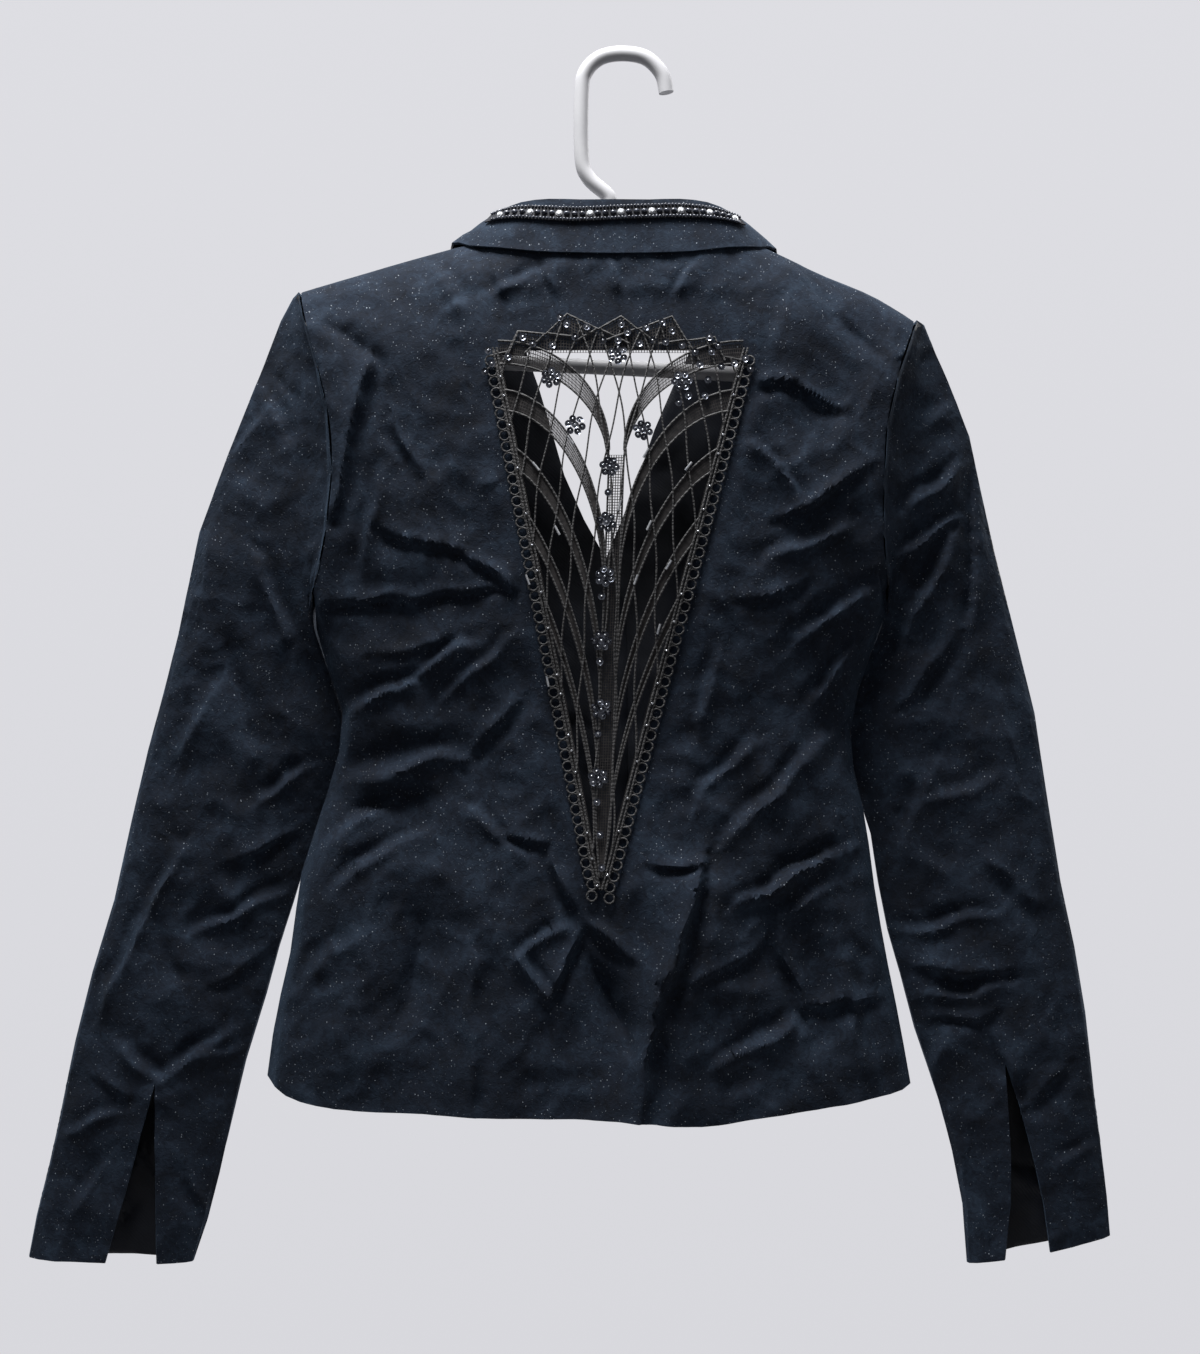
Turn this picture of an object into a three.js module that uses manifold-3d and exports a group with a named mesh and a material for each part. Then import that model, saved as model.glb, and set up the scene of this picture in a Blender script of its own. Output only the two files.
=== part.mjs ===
// An embellished blazer that hangs on a plastic hanger, seen from its back.
// Millimetres, +Z up. The origin is the underside of the hanger's hook, where a nail carries it.
// The garment's back faces -Y, its fronts face the wall at +Y, and X runs along the shoulders.
import * as THREE from 'three';
import Module from 'manifold-3d';
import { mergeVertices } from 'three/addons/utils/BufferGeometryUtils.js';

const wasm = await Module();
wasm.setup();

// Driving dimensions
const clothWall = 1.8;
const seamGap = 0.3;
const laceWall = 1.5;
const laceLift = 0.5;
const shoulderRound = 60; // height over which the cloth rounds over a shoulder
const neckHalfWidth = 82;
const neckDepth = 30; // from the shoulder line to the nape
const neckCentreX = -5;
const armDepthBack = 27;
const armDepthFront = 20;
const tubeRadius = 4.75;
const buttonRadius = 9;
const buttonThickness = 3.5;

// Outline of the body: height, left edge, right edge
const bodyEdges = [
  { z: -140, left: -203, right: 187 },
  { z: -165, left: -197, right: 183 },
  { z: -195, left: -188.5, right: 172 },
  { z: -230, left: -180.5, right: 163.5 },
  { z: -262, left: -179, right: 161 },
  { z: -305, left: -184, right: 161.5 },
  { z: -348, left: -194, right: 167 },
  { z: -378, left: -188, right: 156 },
  { z: -415, left: -176, right: 145 },
  { z: -445, left: -181, right: 146 },
  { z: -480, left: -192, right: 154 },
  { z: -515, left: -203, right: 158.5 },
  { z: -560, left: -209, right: 166 },
  { z: -605, left: -219, right: 175 },
  { z: -655, left: -226, right: 184 },
];
const underarmZ = { left: -350, right: -346 };
const armholeMiddleZ = { left: -248, right: -255 };
const hemLevelZ = -655;
const neckTopZ = -113;

// Shoulder and neck line, from the left tip to the right tip
const shoulderLine = [
  { x: -202, z: -146 },
  { x: -174, z: -138 },
  { x: -128, z: -124.5 },
  { x: -86, z: -114 },
  { x: -50, z: -112 },
  { x: 40, z: -112 },
  { x: 76, z: -113.5 },
  { x: 92, z: -120 },
  { x: 123, z: -135 },
  { x: 156, z: -148.5 },
  { x: 184, z: -164 },
];
const hemLine = [
  { x: -226, z: -641 },
  { x: -205, z: -652 },
  { x: -167, z: -656.5 },
  { x: -103, z: -658 },
  { x: -26, z: -659 },
  { x: 10, z: -661 },
  { x: 47, z: -664 },
  { x: 90, z: -659 },
  { x: 157, z: -651 },
  { x: 184, z: -646 },
];

// How far the cloth stands off the seams' plane, behind and in front
const depths = [
  { z: -110, back: 34, front: 14 },
  { z: -180, back: 40, front: 20 },
  { z: -260, back: 42, front: 23 },
  { z: -340, back: 40, front: 23 },
  { z: -415, back: 34, front: 20 },
  { z: -480, back: 35, front: 20 },
  { z: -560, back: 39, front: 22 },
  { z: -660, back: 42, front: 24 },
];

// Largest folds of the back: a line from one end to the other, its width, and its height
const backFolds = [
  { x0: -160, z0: -190, x1: -182, z1: -288, width: 16, height: 5 },
  { x0: -184, z0: -345, x1: -76, z1: -338, width: 13, height: -4 },
  { x0: -176, z0: -408, x1: -102, z1: -370, width: 15, height: 4.5 },
  { x0: -172, z0: -468, x1: -118, z1: -462, width: 22, height: -6 },
  { x0: -184, z0: -494, x1: -138, z1: -464, width: 12, height: 4 },
  { x0: -165, z0: -520, x1: -172, z1: -655, width: 24, height: 4 },
  { x0: -112, z0: -545, x1: -126, z1: -658, width: 24, height: -6 },
  { x0: -74, z0: -530, x1: -84, z1: -656, width: 22, height: 5 },
  { x0: -28, z0: -556, x1: -46, z1: -592, width: 12, height: 5 },
  { x0: -22, z0: -560, x1: 6, z1: -640, width: 24, height: -9 },
  { x0: 52, z0: -508, x1: 14, z1: -660, width: 21, height: 10 },
  { x0: 22, z0: -508, x1: 52, z1: -508, width: 11, height: 4 },
  { x0: 73, z0: -532, x1: 146, z1: -498, width: 14, height: 4 },
  { x0: 99, z0: -548, x1: 117, z1: -594, width: 17, height: -6 },
  { x0: 117, z0: -594, x1: 166, z1: -584, width: 13, height: -4 },
  { x0: 70, z0: -490, x1: 128, z1: -430, width: 14, height: 4.5 },
  { x0: 100, z0: -288, x1: 150, z1: -260, width: 15, height: 5 },
  { x0: 82, z0: -202, x1: 135, z1: -217, width: 13, height: -4 },
  { x0: 121, z0: -138, x1: 167, z1: -190, width: 11, height: -3 },
];
const frontFolds = [
  { x0: -140, z0: -330, x1: -70, z1: -345, width: 16, height: -4 },
  { x0: -150, z0: -520, x1: -165, z1: -650, width: 22, height: 4 },
  { x0: -90, z0: -530, x1: -98, z1: -655, width: 22, height: -5 },
  { x0: 70, z0: -520, x1: 78, z1: -655, width: 22, height: -5 },
  { x0: 128, z0: -520, x1: 140, z1: -650, width: 20, height: 4 },
  { x0: 60, z0: -370, x1: 130, z1: -400, width: 15, height: 4 },
];

// The V neck of the fronts, on the wall side
const neckEdge = {
  left: [
    { z: -113, x: -88 },
    { z: -130, x: -81 },
    { z: -160, x: -69 },
    { z: -210, x: -51 },
    { z: -270, x: -33 },
    { z: -313, x: -10 },
    { z: -332, x: -1 },
    { z: -352, x: 3 },
    { z: -660, x: 3 },
  ],
  right: [
    { z: -113, x: 78 },
    { z: -130, x: 69 },
    { z: -160, x: 54 },
    { z: -218, x: 26 },
    { z: -262, x: 10 },
    { z: -313, x: -10 },
    { z: -332, x: -20 },
    { z: -352, x: -24 },
    { z: -660, x: -24 },
  ],
};
const overlapLift = 2.4; // the right front laps over the left by this much
const buttonRows = [-335, -405, -475];
const buttonX = -10;

// Sleeves: outer and inner end of each ring, its half depth, and how far its ends stand back
const sleeveRings = {
  left: [
    { ox: -203.5, oz: -146, ix: -195, iz: -350, depth: 24, oy: 0, iy: 0 },
    { ox: -212, oz: -149, ix: -196, iz: -354, depth: 24, oy: 1, iy: 2 },
    { ox: -223, oz: -163, ix: -197, iz: -362, depth: 22.5, oy: 2, iy: 7 },
    { ox: -239, oz: -202, ix: -190, iz: -380, depth: 20, oy: 4, iy: 12 },
    { ox: -252, oz: -245, ix: -178.5, iz: -403, depth: 18, oy: 6, iy: 16 },
    { ox: -269, oz: -297, ix: -171, iz: -430, depth: 16.5, oy: 9, iy: 19 },
    { ox: -283, oz: -362, ix: -176, iz: -454, depth: 15, oy: 12, iy: 19 },
    { ox: -293, oz: -400, ix: -191, iz: -478, depth: 14, oy: 14, iy: 19 },
    { ox: -303, oz: -436, ix: -202, iz: -508, depth: 13, oy: 15, iy: 18 },
    { ox: -314, oz: -482, ix: -210, iz: -534, depth: 12.5, oy: 16, iy: 18 },
    { ox: -325, oz: -532, ix: -219, iz: -562, depth: 12, oy: 16, iy: 17 },
    { ox: -339, oz: -578, ix: -227, iz: -592, depth: 12, oy: 16, iy: 16 },
    { ox: -350, oz: -622, ix: -240, iz: -634, depth: 12, oy: 16, iy: 16 },
    { ox: -359, oz: -666, ix: -250, iz: -677, depth: 11.5, oy: 16, iy: 16 },
    { ox: -367, oz: -702, ix: -257, iz: -706, depth: 11, oy: 16, iy: 16 },
    { ox: -375, oz: -734, ix: -265, iz: -736, depth: 11, oy: 16, iy: 16 },
    { ox: -380, oz: -760, ix: -274, iz: -763, depth: 11, oy: 16, iy: 16 },
  ],
  right: [
    { ox: 185.5, oz: -164, ix: 168, iz: -346, depth: 24, oy: 0, iy: 0 },
    { ox: 196, oz: -166, ix: 168.3, iz: -351, depth: 24, oy: 1, iy: 2 },
    { ox: 204, oz: -179, ix: 168, iz: -360, depth: 22, oy: 2, iy: 7 },
    { ox: 213, oz: -201, ix: 160, iz: -377, depth: 20, oy: 4, iy: 12 },
    { ox: 223, oz: -236, ix: 148, iz: -398, depth: 18, oy: 6, iy: 16 },
    { ox: 228, oz: -268, ix: 140, iz: -422, depth: 16.5, oy: 9, iy: 19 },
    { ox: 238, oz: -310, ix: 139, iz: -444, depth: 15, oy: 12, iy: 19 },
    { ox: 251, oz: -360, ix: 152, iz: -467, depth: 14, oy: 14, iy: 19 },
    { ox: 264, oz: -412, ix: 159, iz: -490, depth: 13, oy: 15, iy: 18 },
    { ox: 273, oz: -470, ix: 164, iz: -522, depth: 12.5, oy: 16, iy: 18 },
    { ox: 281, oz: -520, ix: 170, iz: -552, depth: 12, oy: 16, iy: 17 },
    { ox: 290, oz: -562, ix: 178, iz: -580, depth: 12, oy: 16, iy: 16 },
    { ox: 297, oz: -604, ix: 187, iz: -614, depth: 12, oy: 16, iy: 16 },
    { ox: 302, oz: -650, ix: 200, iz: -652, depth: 11.5, oy: 16, iy: 16 },
    { ox: 307, oz: -688, ix: 211, iz: -692, depth: 11, oy: 16, iy: 16 },
    { ox: 311, oz: -720, ix: 218, iz: -726, depth: 11, oy: 16, iy: 16 },
    { ox: 313, oz: -746, ix: 221, iz: -764, depth: 11, oy: 16, iy: 16 },
  ],
};
// The seam down the back of a sleeve as a share of the flat width, from ring 0 to the cuff,
// and the slit that it opens into: its top ring, and its two edges at the cuff
const sleeveSeams = {
  left: { top: 0.74, slitRing: 12.4, slitShare: 0.53, outerEdge: 0.49, innerEdge: 0.8 },
  right: { top: 0.74, slitRing: 12.6, slitShare: 0.54, outerEdge: 0.45, innerEdge: 0.76 },
};
const frontSeamShare = 0.72;
// A top sleeve is in two nodes, parted at the elbow, so that its collision follows the flat hollow
const elbowRing = 7;
const elbowRingPitch = 36; // millimetres along the arm from one ring to the next there

// Collar in half, from the nape to its front end: the seam, the roll line and the outer edge.
// A drop is measured down from the shoulder line.
const collarStations = [
  { zone: 'back', seamX: 0, seamDrop: 0, rollX: 0, rollZ: -95, edgeX: 0, edgeDrop: 18 },
  { zone: 'back', seamX: 22, seamDrop: 0, rollX: 21, rollZ: -95, edgeX: 24, edgeDrop: 17.5 },
  { zone: 'back', seamX: 42, seamDrop: 0, rollX: 40, rollZ: -94, edgeX: 48, edgeDrop: 16 },
  { zone: 'back', seamX: 60, seamDrop: 0, rollX: 57, rollZ: -95, edgeX: 71, edgeDrop: 12 },
  { zone: 'back', seamX: 73, seamDrop: 0, rollX: 72, rollZ: -99.5, edgeX: 90, edgeDrop: 5 },
  { zone: 'side', seamX: 78.5, seamDrop: 1, rollX: 84, rollZ: -105.5, edgeX: 102, edgeDrop: 0 },
  { zone: 'front', seamX: 76, seamDrop: 12, rollX: 83, rollZ: -114, edgeX: 104, edgeDrop: 7 },
  { zone: 'front', seamX: 69, seamDrop: 28, rollX: 76, rollZ: -130, edgeX: 102, edgeDrop: 22 },
  { zone: 'front', seamX: 62, seamDrop: 44, rollX: 68, rollZ: -147, edgeX: 96, edgeDrop: 36 },
];
const collarLift = 2.2;
const collarRoll = 2.6;
const collarRollShare = 0.25; // the roll line's place between the seam and the outer edge

// Lace wedge: the cloth opening, half its top width, and the lace's reach over the cloth
const wedge = { topZ: -189.5, tipZ: -521, halfTop: 75, topX: -1.5, tipX: -13.5 };
const laceBorder = 10;
const scallopPitch = 6.6;
const scallopDepth = 2.2;
const laceTop = [
  { x: -83, z: -193 },
  { x: -70, z: -190 },
  { x: -64, z: -177.5 },
  { x: -47, z: -179.5 },
  { x: -34, z: -167 },
  { x: -15, z: -176.5 },
  { x: -1, z: -168.5 },
  { x: 9, z: -176.5 },
  { x: 30, z: -168.5 },
  { x: 39, z: -183.5 },
  { x: 56, z: -181 },
  { x: 61, z: -193 },
  { x: 78, z: -196 },
];
// Net-filled bars of the lace, each half mirrored: where a bar starts at the border and ends at the
// middle, and how steeply it starts
const laceBars = [
  { startUp: -184, startLow: -198, endUp: -251, endLow: -262, steep: 0 },
  { startUp: -214, startLow: -227, endUp: -321, endLow: -338, steep: 0.08 },
  { startUp: -250, startLow: -264, endUp: -391, endLow: -405, steep: 0.25 },
  { startUp: -292, startLow: -308, endUp: -440, endLow: -452, steep: 0.42 },
  { startUp: -342, startLow: -360, endUp: -478, endLow: -490, steep: 0.55 },
];
const centreBar = 4.5; // half width of the bar down the middle
const cordWidth = 1.8;
// Thin cords that cross the bars: they start at the top and lean out to the border
const cords = { first: -27, pitch: 9.6, count: 11, topZ: -170, lean: 34, leanFall: 85 };
const windowTop = -191.5;

// Hanger: hook from its tip to the neck, and the closed frame
const hookRoute = [
  { x: 28, z: -20 },
  { x: 25, z: -8 },
  { x: 15, z: 2 },
  { x: 0, z: tubeRadius },
  { x: -14, z: 2 },
  { x: -23, z: -7 },
  { x: -25.5, z: -20 },
  { x: -25.5, z: -60 },
  { x: -21, z: -74 },
  { x: -9, z: -85 },
  { x: -8, z: -91.8 },
];
const frameRoute = [
  { x: -8, z: -97 },
  { x: -40, z: -107 },
  { x: -85, z: -122.3 },
  { x: -128, z: -135.3 },
  { x: -165, z: -145.9 },
  { x: -181, z: -152 },
  { x: -187, z: -163 },
  { x: -185, z: -175 },
  { x: -174, z: -184 },
  { x: -155, z: -187 },
  { x: -14, z: -193.5 },
  { x: 135, z: -201 },
  { x: 155, z: -200 },
  { x: 168, z: -192 },
  { x: 171, z: -178 },
  { x: 166, z: -167 },
  { x: 152, z: -158 },
  { x: 122, z: -145.3 },
  { x: 80, z: -127 },
  { x: 30, z: -107 },
];

// Small numeric helpers
const mix = (a, b, t) => a + (b - a) * t;
const clamp01 = (t) => Math.min(1, Math.max(0, t));
const smooth01 = (t) => clamp01(t) ** 2 * (3 - 2 * clamp01(t));

// A smooth curve through a table's rows, level past its ends
function curve(rows, key, value) {
  const sorted = [...rows].sort((a, b) => a[key] - b[key]);
  const slope = (i) => {
    const a = sorted[Math.max(0, i - 1)];
    const b = sorted[Math.min(sorted.length - 1, i + 1)];
    return (b[value] - a[value]) / (b[key] - a[key]);
  };
  return (at) => {
    if (at <= sorted[0][key]) return sorted[0][value];
    if (at >= sorted[sorted.length - 1][key]) return sorted[sorted.length - 1][value];
    const i = sorted.findIndex((row) => row[key] > at) - 1;
    const span = sorted[i + 1][key] - sorted[i][key];
    const t = (at - sorted[i][key]) / span;
    const t2 = t * t;
    const t3 = t2 * t;
    return (2 * t3 - 3 * t2 + 1) * sorted[i][value] + (t3 - 2 * t2 + t) * span * slope(i)
      + (3 * t2 - 2 * t3) * sorted[i + 1][value] + (t3 - t2) * span * slope(i + 1);
  };
}

const leftEdge = curve(bodyEdges, 'z', 'left');
const rightEdge = curve(bodyEdges, 'z', 'right');
const shoulderZ = curve(shoulderLine, 'x', 'z');
const hemZ = curve(hemLine, 'x', 'z');
const backDepthAt = curve(depths, 'z', 'back');
const frontDepthAt = curve(depths, 'z', 'front');
const neckX = { left: curve(neckEdge.left, 'z', 'x'), right: curve(neckEdge.right, 'z', 'x') };
const edgeX = { left: leftEdge, right: rightEdge };

// A closed mesh from a wall's outer and inner grids of points
function closedWall(outer, inner) {
  const rows = outer.length;
  const columns = outer[0].length;
  const positions = [];
  for (const grid of [outer, inner]) {
    for (const row of grid) for (const p of row) positions.push(p.x, p.y, p.z);
  }
  const at = (layer, i, j) => (layer * rows + i) * columns + j;
  const faces = [];
  const quad = (a, b, c, d) => faces.push(a, b, c, a, c, d);
  for (let i = 0; i + 1 < rows; i += 1) {
    for (let j = 0; j + 1 < columns; j += 1) {
      quad(at(0, i, j), at(0, i, j + 1), at(0, i + 1, j + 1), at(0, i + 1, j));
      quad(at(1, i, j), at(1, i + 1, j), at(1, i + 1, j + 1), at(1, i, j + 1));
    }
    quad(at(0, i, 0), at(0, i + 1, 0), at(1, i + 1, 0), at(1, i, 0));
    const last = columns - 1;
    quad(at(0, i, last), at(1, i, last), at(1, i + 1, last), at(0, i + 1, last));
  }
  for (let j = 0; j + 1 < columns; j += 1) {
    quad(at(0, 0, j), at(1, 0, j), at(1, 0, j + 1), at(0, 0, j + 1));
    const last = rows - 1;
    quad(at(0, last, j), at(0, last, j + 1), at(1, last, j + 1), at(1, last, j));
  }
  return outwardMesh(positions, faces);
}

function outwardMesh(positions, faces) {
  let volume = 0;
  const corner = (k) => new THREE.Vector3().fromArray(positions, faces[k] * 3);
  for (let k = 0; k < faces.length; k += 3) {
    volume += corner(k).dot(corner(k + 1).cross(corner(k + 2)));
  }
  if (volume < 0) {
    for (let k = 0; k < faces.length; k += 3) {
      [faces[k + 1], faces[k + 2]] = [faces[k + 2], faces[k + 1]];
    }
  }
  const geometry = new THREE.BufferGeometry();
  geometry.setAttribute('position', new THREE.Float32BufferAttribute(positions, 3));
  geometry.setIndex(faces);
  return geometry;
}

function toSolid(geometry) {
  const bare = geometry.clone();
  bare.deleteAttribute('normal');
  bare.deleteAttribute('uv');
  const merged = mergeVertices(bare, 1e-4);
  return new wasm.Manifold(new wasm.Mesh({
    numProp: 3,
    vertProperties: new Float32Array(merged.attributes.position.array),
    triVerts: new Uint32Array(merged.index.array),
  }));
}

function toGeometry(solid) {
  const mesh = solid.getMesh();
  const geometry = new THREE.BufferGeometry();
  geometry.setAttribute('position', new THREE.BufferAttribute(mesh.vertProperties, 3));
  geometry.setIndex(new THREE.BufferAttribute(mesh.triVerts, 1));
  return geometry;
}

// Height of all the soft folds of a table at a place on a panel
function foldHeight(folds, x, z) {
  let height = 0;
  for (const fold of folds) {
    const along = new THREE.Vector2(fold.x1 - fold.x0, fold.z1 - fold.z0);
    const from = new THREE.Vector2(x - fold.x0, z - fold.z0);
    const t = clamp01(from.dot(along) / along.lengthSq());
    const away = from.sub(along.multiplyScalar(t)).length() / fold.width;
    const ends = 0.35 + 0.65 * Math.sin(Math.PI * mix(0.15, 0.85, t));
    height += fold.height * ends * Math.exp(-away * away);
  }
  return height;
}

const wedgeMiddle = (z) => mix(wedge.tipX, wedge.topX, (z - wedge.tipZ) / (wedge.topZ - wedge.tipZ));
const wedgeHalf = (z) => wedge.halfTop * (z - wedge.tipZ) / (wedge.topZ - wedge.tipZ);

// Folds die out where the lace lies on the back
function foldMask(x, z) {
  const reach = Math.abs(x - wedgeMiddle(z)) - Math.max(0, wedgeHalf(z)) - laceBorder;
  const below = wedge.tipZ - 14 - z;
  const above = z - (wedge.topZ + 30);
  return smooth01(Math.max(reach, below, above) / 12);
}

// Depth of a face of the body at one place, for the outer face or one set in by the wall
const faces = {
  back: { depthAt: backDepthAt, arm: armDepthBack, folds: backFolds, sign: -1, neck: neckDepth },
  front: { depthAt: frontDepthAt, arm: armDepthFront, folds: frontFolds, sign: 1, neck: 0 },
};

function armholeDepth(side, z, arm) {
  if (z <= underarmZ[side]) return 0;
  const fall = (armholeMiddleZ[side] - z) / (armholeMiddleZ[side] - underarmZ[side]);
  return fall > 0 ? arm * Math.sqrt(1 - Math.min(1, fall) ** 2) : arm;
}

function neckCurve(face, x) {
  const share = (x - neckCentreX) / neckHalfWidth;
  return Math.abs(share) < 1 ? faces[face].neck * Math.sqrt(1 - share * share) : 0;
}

// How far down the rounded shoulder a height lies, as the sine of its turn
function shoulderTurn(x, z) {
  const t = clamp01((shoulderZ(x) - z) / shoulderRound);
  return Math.sqrt(1 - (1 - t) ** 2);
}

function faceDepth(face, share, x, z, inset, turnSine) {
  const side = share < 0 ? 'left' : 'right';
  const { depthAt, arm, folds } = faces[face];
  const edge = armholeDepth(side, z, arm);
  const bend = 1 - 0.25 * smooth01((z - underarmZ[side]) / 60);
  const flat = Math.sqrt(1 - bend * bend);
  const profile = (Math.sqrt(Math.max(0, 1 - (share * bend) ** 2)) - flat) / (1 - flat);
  const innerEdge = Math.max(0, edge - inset);
  const full = innerEdge + (depthAt(z) - inset - innerEdge) * profile;
  const neck = Math.max(0, neckCurve(face, x) - inset);
  const fold = foldHeight(folds, x, z) * foldMask(x, z) * Math.min(1, profile * 2.5) * turnSine;
  return neck + (full - neck) * turnSine + fold;
}

// The body's outer surface as a depth over X and Z
function bodyY(face, x, z) {
  const middle = (leftEdge(z) + rightEdge(z)) / 2;
  const half = (rightEdge(z) - leftEdge(z)) / 2;
  return faces[face].sign * faceDepth(face, (x - middle) / half, x, z, 0, shoulderTurn(x, z));
}

// A point of a body panel: share runs -1 to 1 across, down is 0 at the top edge and 1 at the hem
const roundRows = 5;
const straightRows = 17;
function panelRows() {
  const rows = [];
  for (let i = 0; i <= roundRows; i += 1) rows.push({ turn: (i / roundRows) * Math.PI / 2, down: 0 });
  for (let i = 1; i <= straightRows; i += 1) rows.push({ turn: Math.PI / 2, down: i / straightRows });
  return rows;
}

function panelPoint(face, share, topX, row, inset, xAt, hemX, hemLift) {
  const neckInset = clamp01(neckCurve(face, topX) / 6);
  const topZ = shoulderZ(topX) - (row.down === 0 ? inset * (1 - neckInset) * Math.cos(row.turn) : 0);
  const roundZ = topZ - shoulderRound * (1 - Math.cos(row.turn));
  const z = mix(roundZ, hemZ(hemX) + hemLift, row.down);
  const x = xAt(z);
  const middle = (leftEdge(z) + rightEdge(z)) / 2;
  const half = (rightEdge(z) - leftEdge(z)) / 2;
  const side = share < 0 ? 'left' : 'right';
  const open = clamp01(1 - armholeDepth(side, z, faces[face].arm) / 6);
  const across = (x - middle) / half;
  const innerX = x - inset * open * Math.sign(across) * Math.abs(across) ** 8;
  const y = faces[face].sign * faceDepth(face, across, x, z, inset, Math.sin(row.turn));
  return new THREE.Vector3(innerX, y, z);
}

// Columns are closer together where the cloth turns to the side seams
const crossShare = (t) => 0.5 * Math.sin(t * Math.PI / 2) + 0.5 * t;

const backColumns = 30;
function backPanel() {
  const layers = [0, clothWall].map((inset) => panelRows().map((row) => {
    const points = [];
    for (let j = 0; j <= backColumns; j += 1) {
      const share = crossShare((2 * j) / backColumns - 1);
      const topX = mix(shoulderLine[0].x, shoulderLine.at(-1).x, (share + 1) / 2);
      const hemX = mix(leftEdge(hemLevelZ), rightEdge(hemLevelZ), (share + 1) / 2);
      const xAt = (z) => mix(leftEdge(z), rightEdge(z), (share + 1) / 2);
      points.push(panelPoint('back', share, topX, row, inset, xAt, hemX, 0));
    }
    return points;
  }));
  const whole = toSolid(closedWall(layers[0], layers[1]));
  const outline = new THREE.Shape([
    new THREE.Vector2(wedge.topX - wedge.halfTop, wedge.topZ),
    new THREE.Vector2(wedge.tipX, wedge.tipZ),
    new THREE.Vector2(wedge.topX + wedge.halfTop, wedge.topZ),
  ]);
  const cutter = new THREE.ExtrudeGeometry(outline, { depth: 60, bevelEnabled: false });
  cutter.rotateX(Math.PI / 2);
  return toGeometry(whole.subtract(toSolid(cutter)));
}

const frontColumns = 11;
const frontGap = seamGap;
const frontHemLift = 4;
function frontLift(side, x) {
  return side === 'right' ? overlapLift * smooth01((32 - x) / 30) : 0;
}

function frontPanel(side) {
  const tip = side === 'left' ? shoulderLine[0].x : shoulderLine.at(-1).x;
  const sign = side === 'left' ? -1 : 1;
  const layers = [0, clothWall].map((inset) => panelRows().map((row) => {
    const points = [];
    for (let j = 0; j <= frontColumns; j += 1) {
      const t = Math.sin((j / frontColumns) * Math.PI / 2) * 0.4 + (j / frontColumns) * 0.6;
      const topX = mix(neckX[side](neckTopZ), tip, t);
      const hemX = mix(neckX[side](hemLevelZ), edgeX[side](hemLevelZ), t);
      const xAt = (z) => mix(neckX[side](z), edgeX[side](z), t);
      const p = panelPoint('front', sign * Math.max(0.01, t), topX, row, inset, xAt, hemX, frontHemLift);
      p.y += frontGap + frontLift(side, p.x);
      points.push(p);
    }
    return points;
  }));
  return closedWall(layers[0], layers[1]);
}

// A flat lapel folded back over a front along its V neck
const lapel = { topZ: -174, endZ: -300, width: 50, rows: 9, columns: 4 };
function lapelPanel(side) {
  const sign = side === 'left' ? -1 : 1;
  const layers = [seamGap + clothWall + 0.5, seamGap + 0.5].map((lift) => {
    const grid = [];
    for (let i = 0; i <= lapel.rows; i += 1) {
      const t = i / lapel.rows;
      const line = [];
      for (let j = 0; j <= lapel.columns; j += 1) {
        const w = j / lapel.columns;
        const z = mix(lapel.topZ, lapel.endZ, t) + w * 12 * (1 - t) - w * 16 * t;
        const width = mix(lapel.width, 5, t ** 1.3);
        const x = neckX[side](mix(lapel.topZ, lapel.endZ, t)) + sign * (2 + width * w);
        const y = bodyY('front', x, z) + frontGap + frontLift(side, x) + lift;
        line.push(new THREE.Vector3(x, y, z));
      }
      grid.push(line);
    }
    return grid;
  });
  return closedWall(layers[0], layers[1]);
}

// The collar's seam, roll line and outer edge as curves round the neck
const halfWall = clothWall / 2;
function collarStation(row, sign) {
  const x = (out) => neckCentreX + sign * out;
  const side = sign < 0 ? 'left' : 'right';
  const seam = new THREE.Vector3(x(row.seamX), 0, shoulderZ(x(row.seamX)) - row.seamDrop);
  const edge = new THREE.Vector3(x(row.edgeX), 0, shoulderZ(x(row.edgeX)) - row.edgeDrop);
  if (row.zone === 'back') {
    seam.y = -neckCurve('back', seam.x) + halfWall;
    seam.z += 3 * seamGap;
    edge.y = bodyY('back', edge.x, edge.z) - halfWall - collarLift;
  } else {
    const neck = neckX[side](seam.z);
    seam.x = neck - sign * (halfWall + 6 * seamGap);
    seam.y = bodyY('front', neck, seam.z) + (row.zone === 'front' ? halfWall : 0);
    const flat = row.zone === 'front' ? 1 : 0;
    edge.y = flat * (bodyY('front', edge.x, edge.z) + halfWall + collarLift + seamGap);
    edge.z += (1 - flat) * (halfWall + collarLift);
  }
  const rollShare = row.zone === 'front' ? 1.1 : collarRollShare;
  const roll = new THREE.Vector3(x(row.rollX), mix(seam.y, edge.y, rollShare), row.rollZ);
  return { seam, roll, edge };
}

const collarEnds = collarStations.length - 1;
const collarAll = [];
for (let i = -collarEnds; i <= collarEnds; i += 1) {
  collarAll.push(collarStation(collarStations[Math.abs(i)], i < 0 ? -1 : 1));
}
const collarCurve = (name) => new THREE.CatmullRomCurve3(collarAll.map((row) => row[name]));
const collarCurves = { seam: collarCurve('seam'), roll: collarCurve('roll'), edge: collarCurve('edge') };

// The collar's section at one place round the neck: up the stand, over the roll and down the fall
function collarSection(along) {
  const seam = collarCurves.seam.getPoint(along);
  const roll = collarCurves.roll.getPoint(along);
  const edge = collarCurves.edge.getPoint(along);
  const stand = seam.clone().lerp(new THREE.Vector3(roll.x, roll.y, roll.z - collarRoll), 0.75);
  const inRoll = stand.clone().lerp(roll, 0.72);
  const fall = roll.clone().lerp(edge, 0.45);
  fall.z += collarRoll * 0.6;
  return new THREE.CatmullRomCurve3([seam, stand, inRoll, roll, fall, edge]);
}

function collarPoint(along, over) {
  return collarSection(along).getPoint(over);
}

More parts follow.
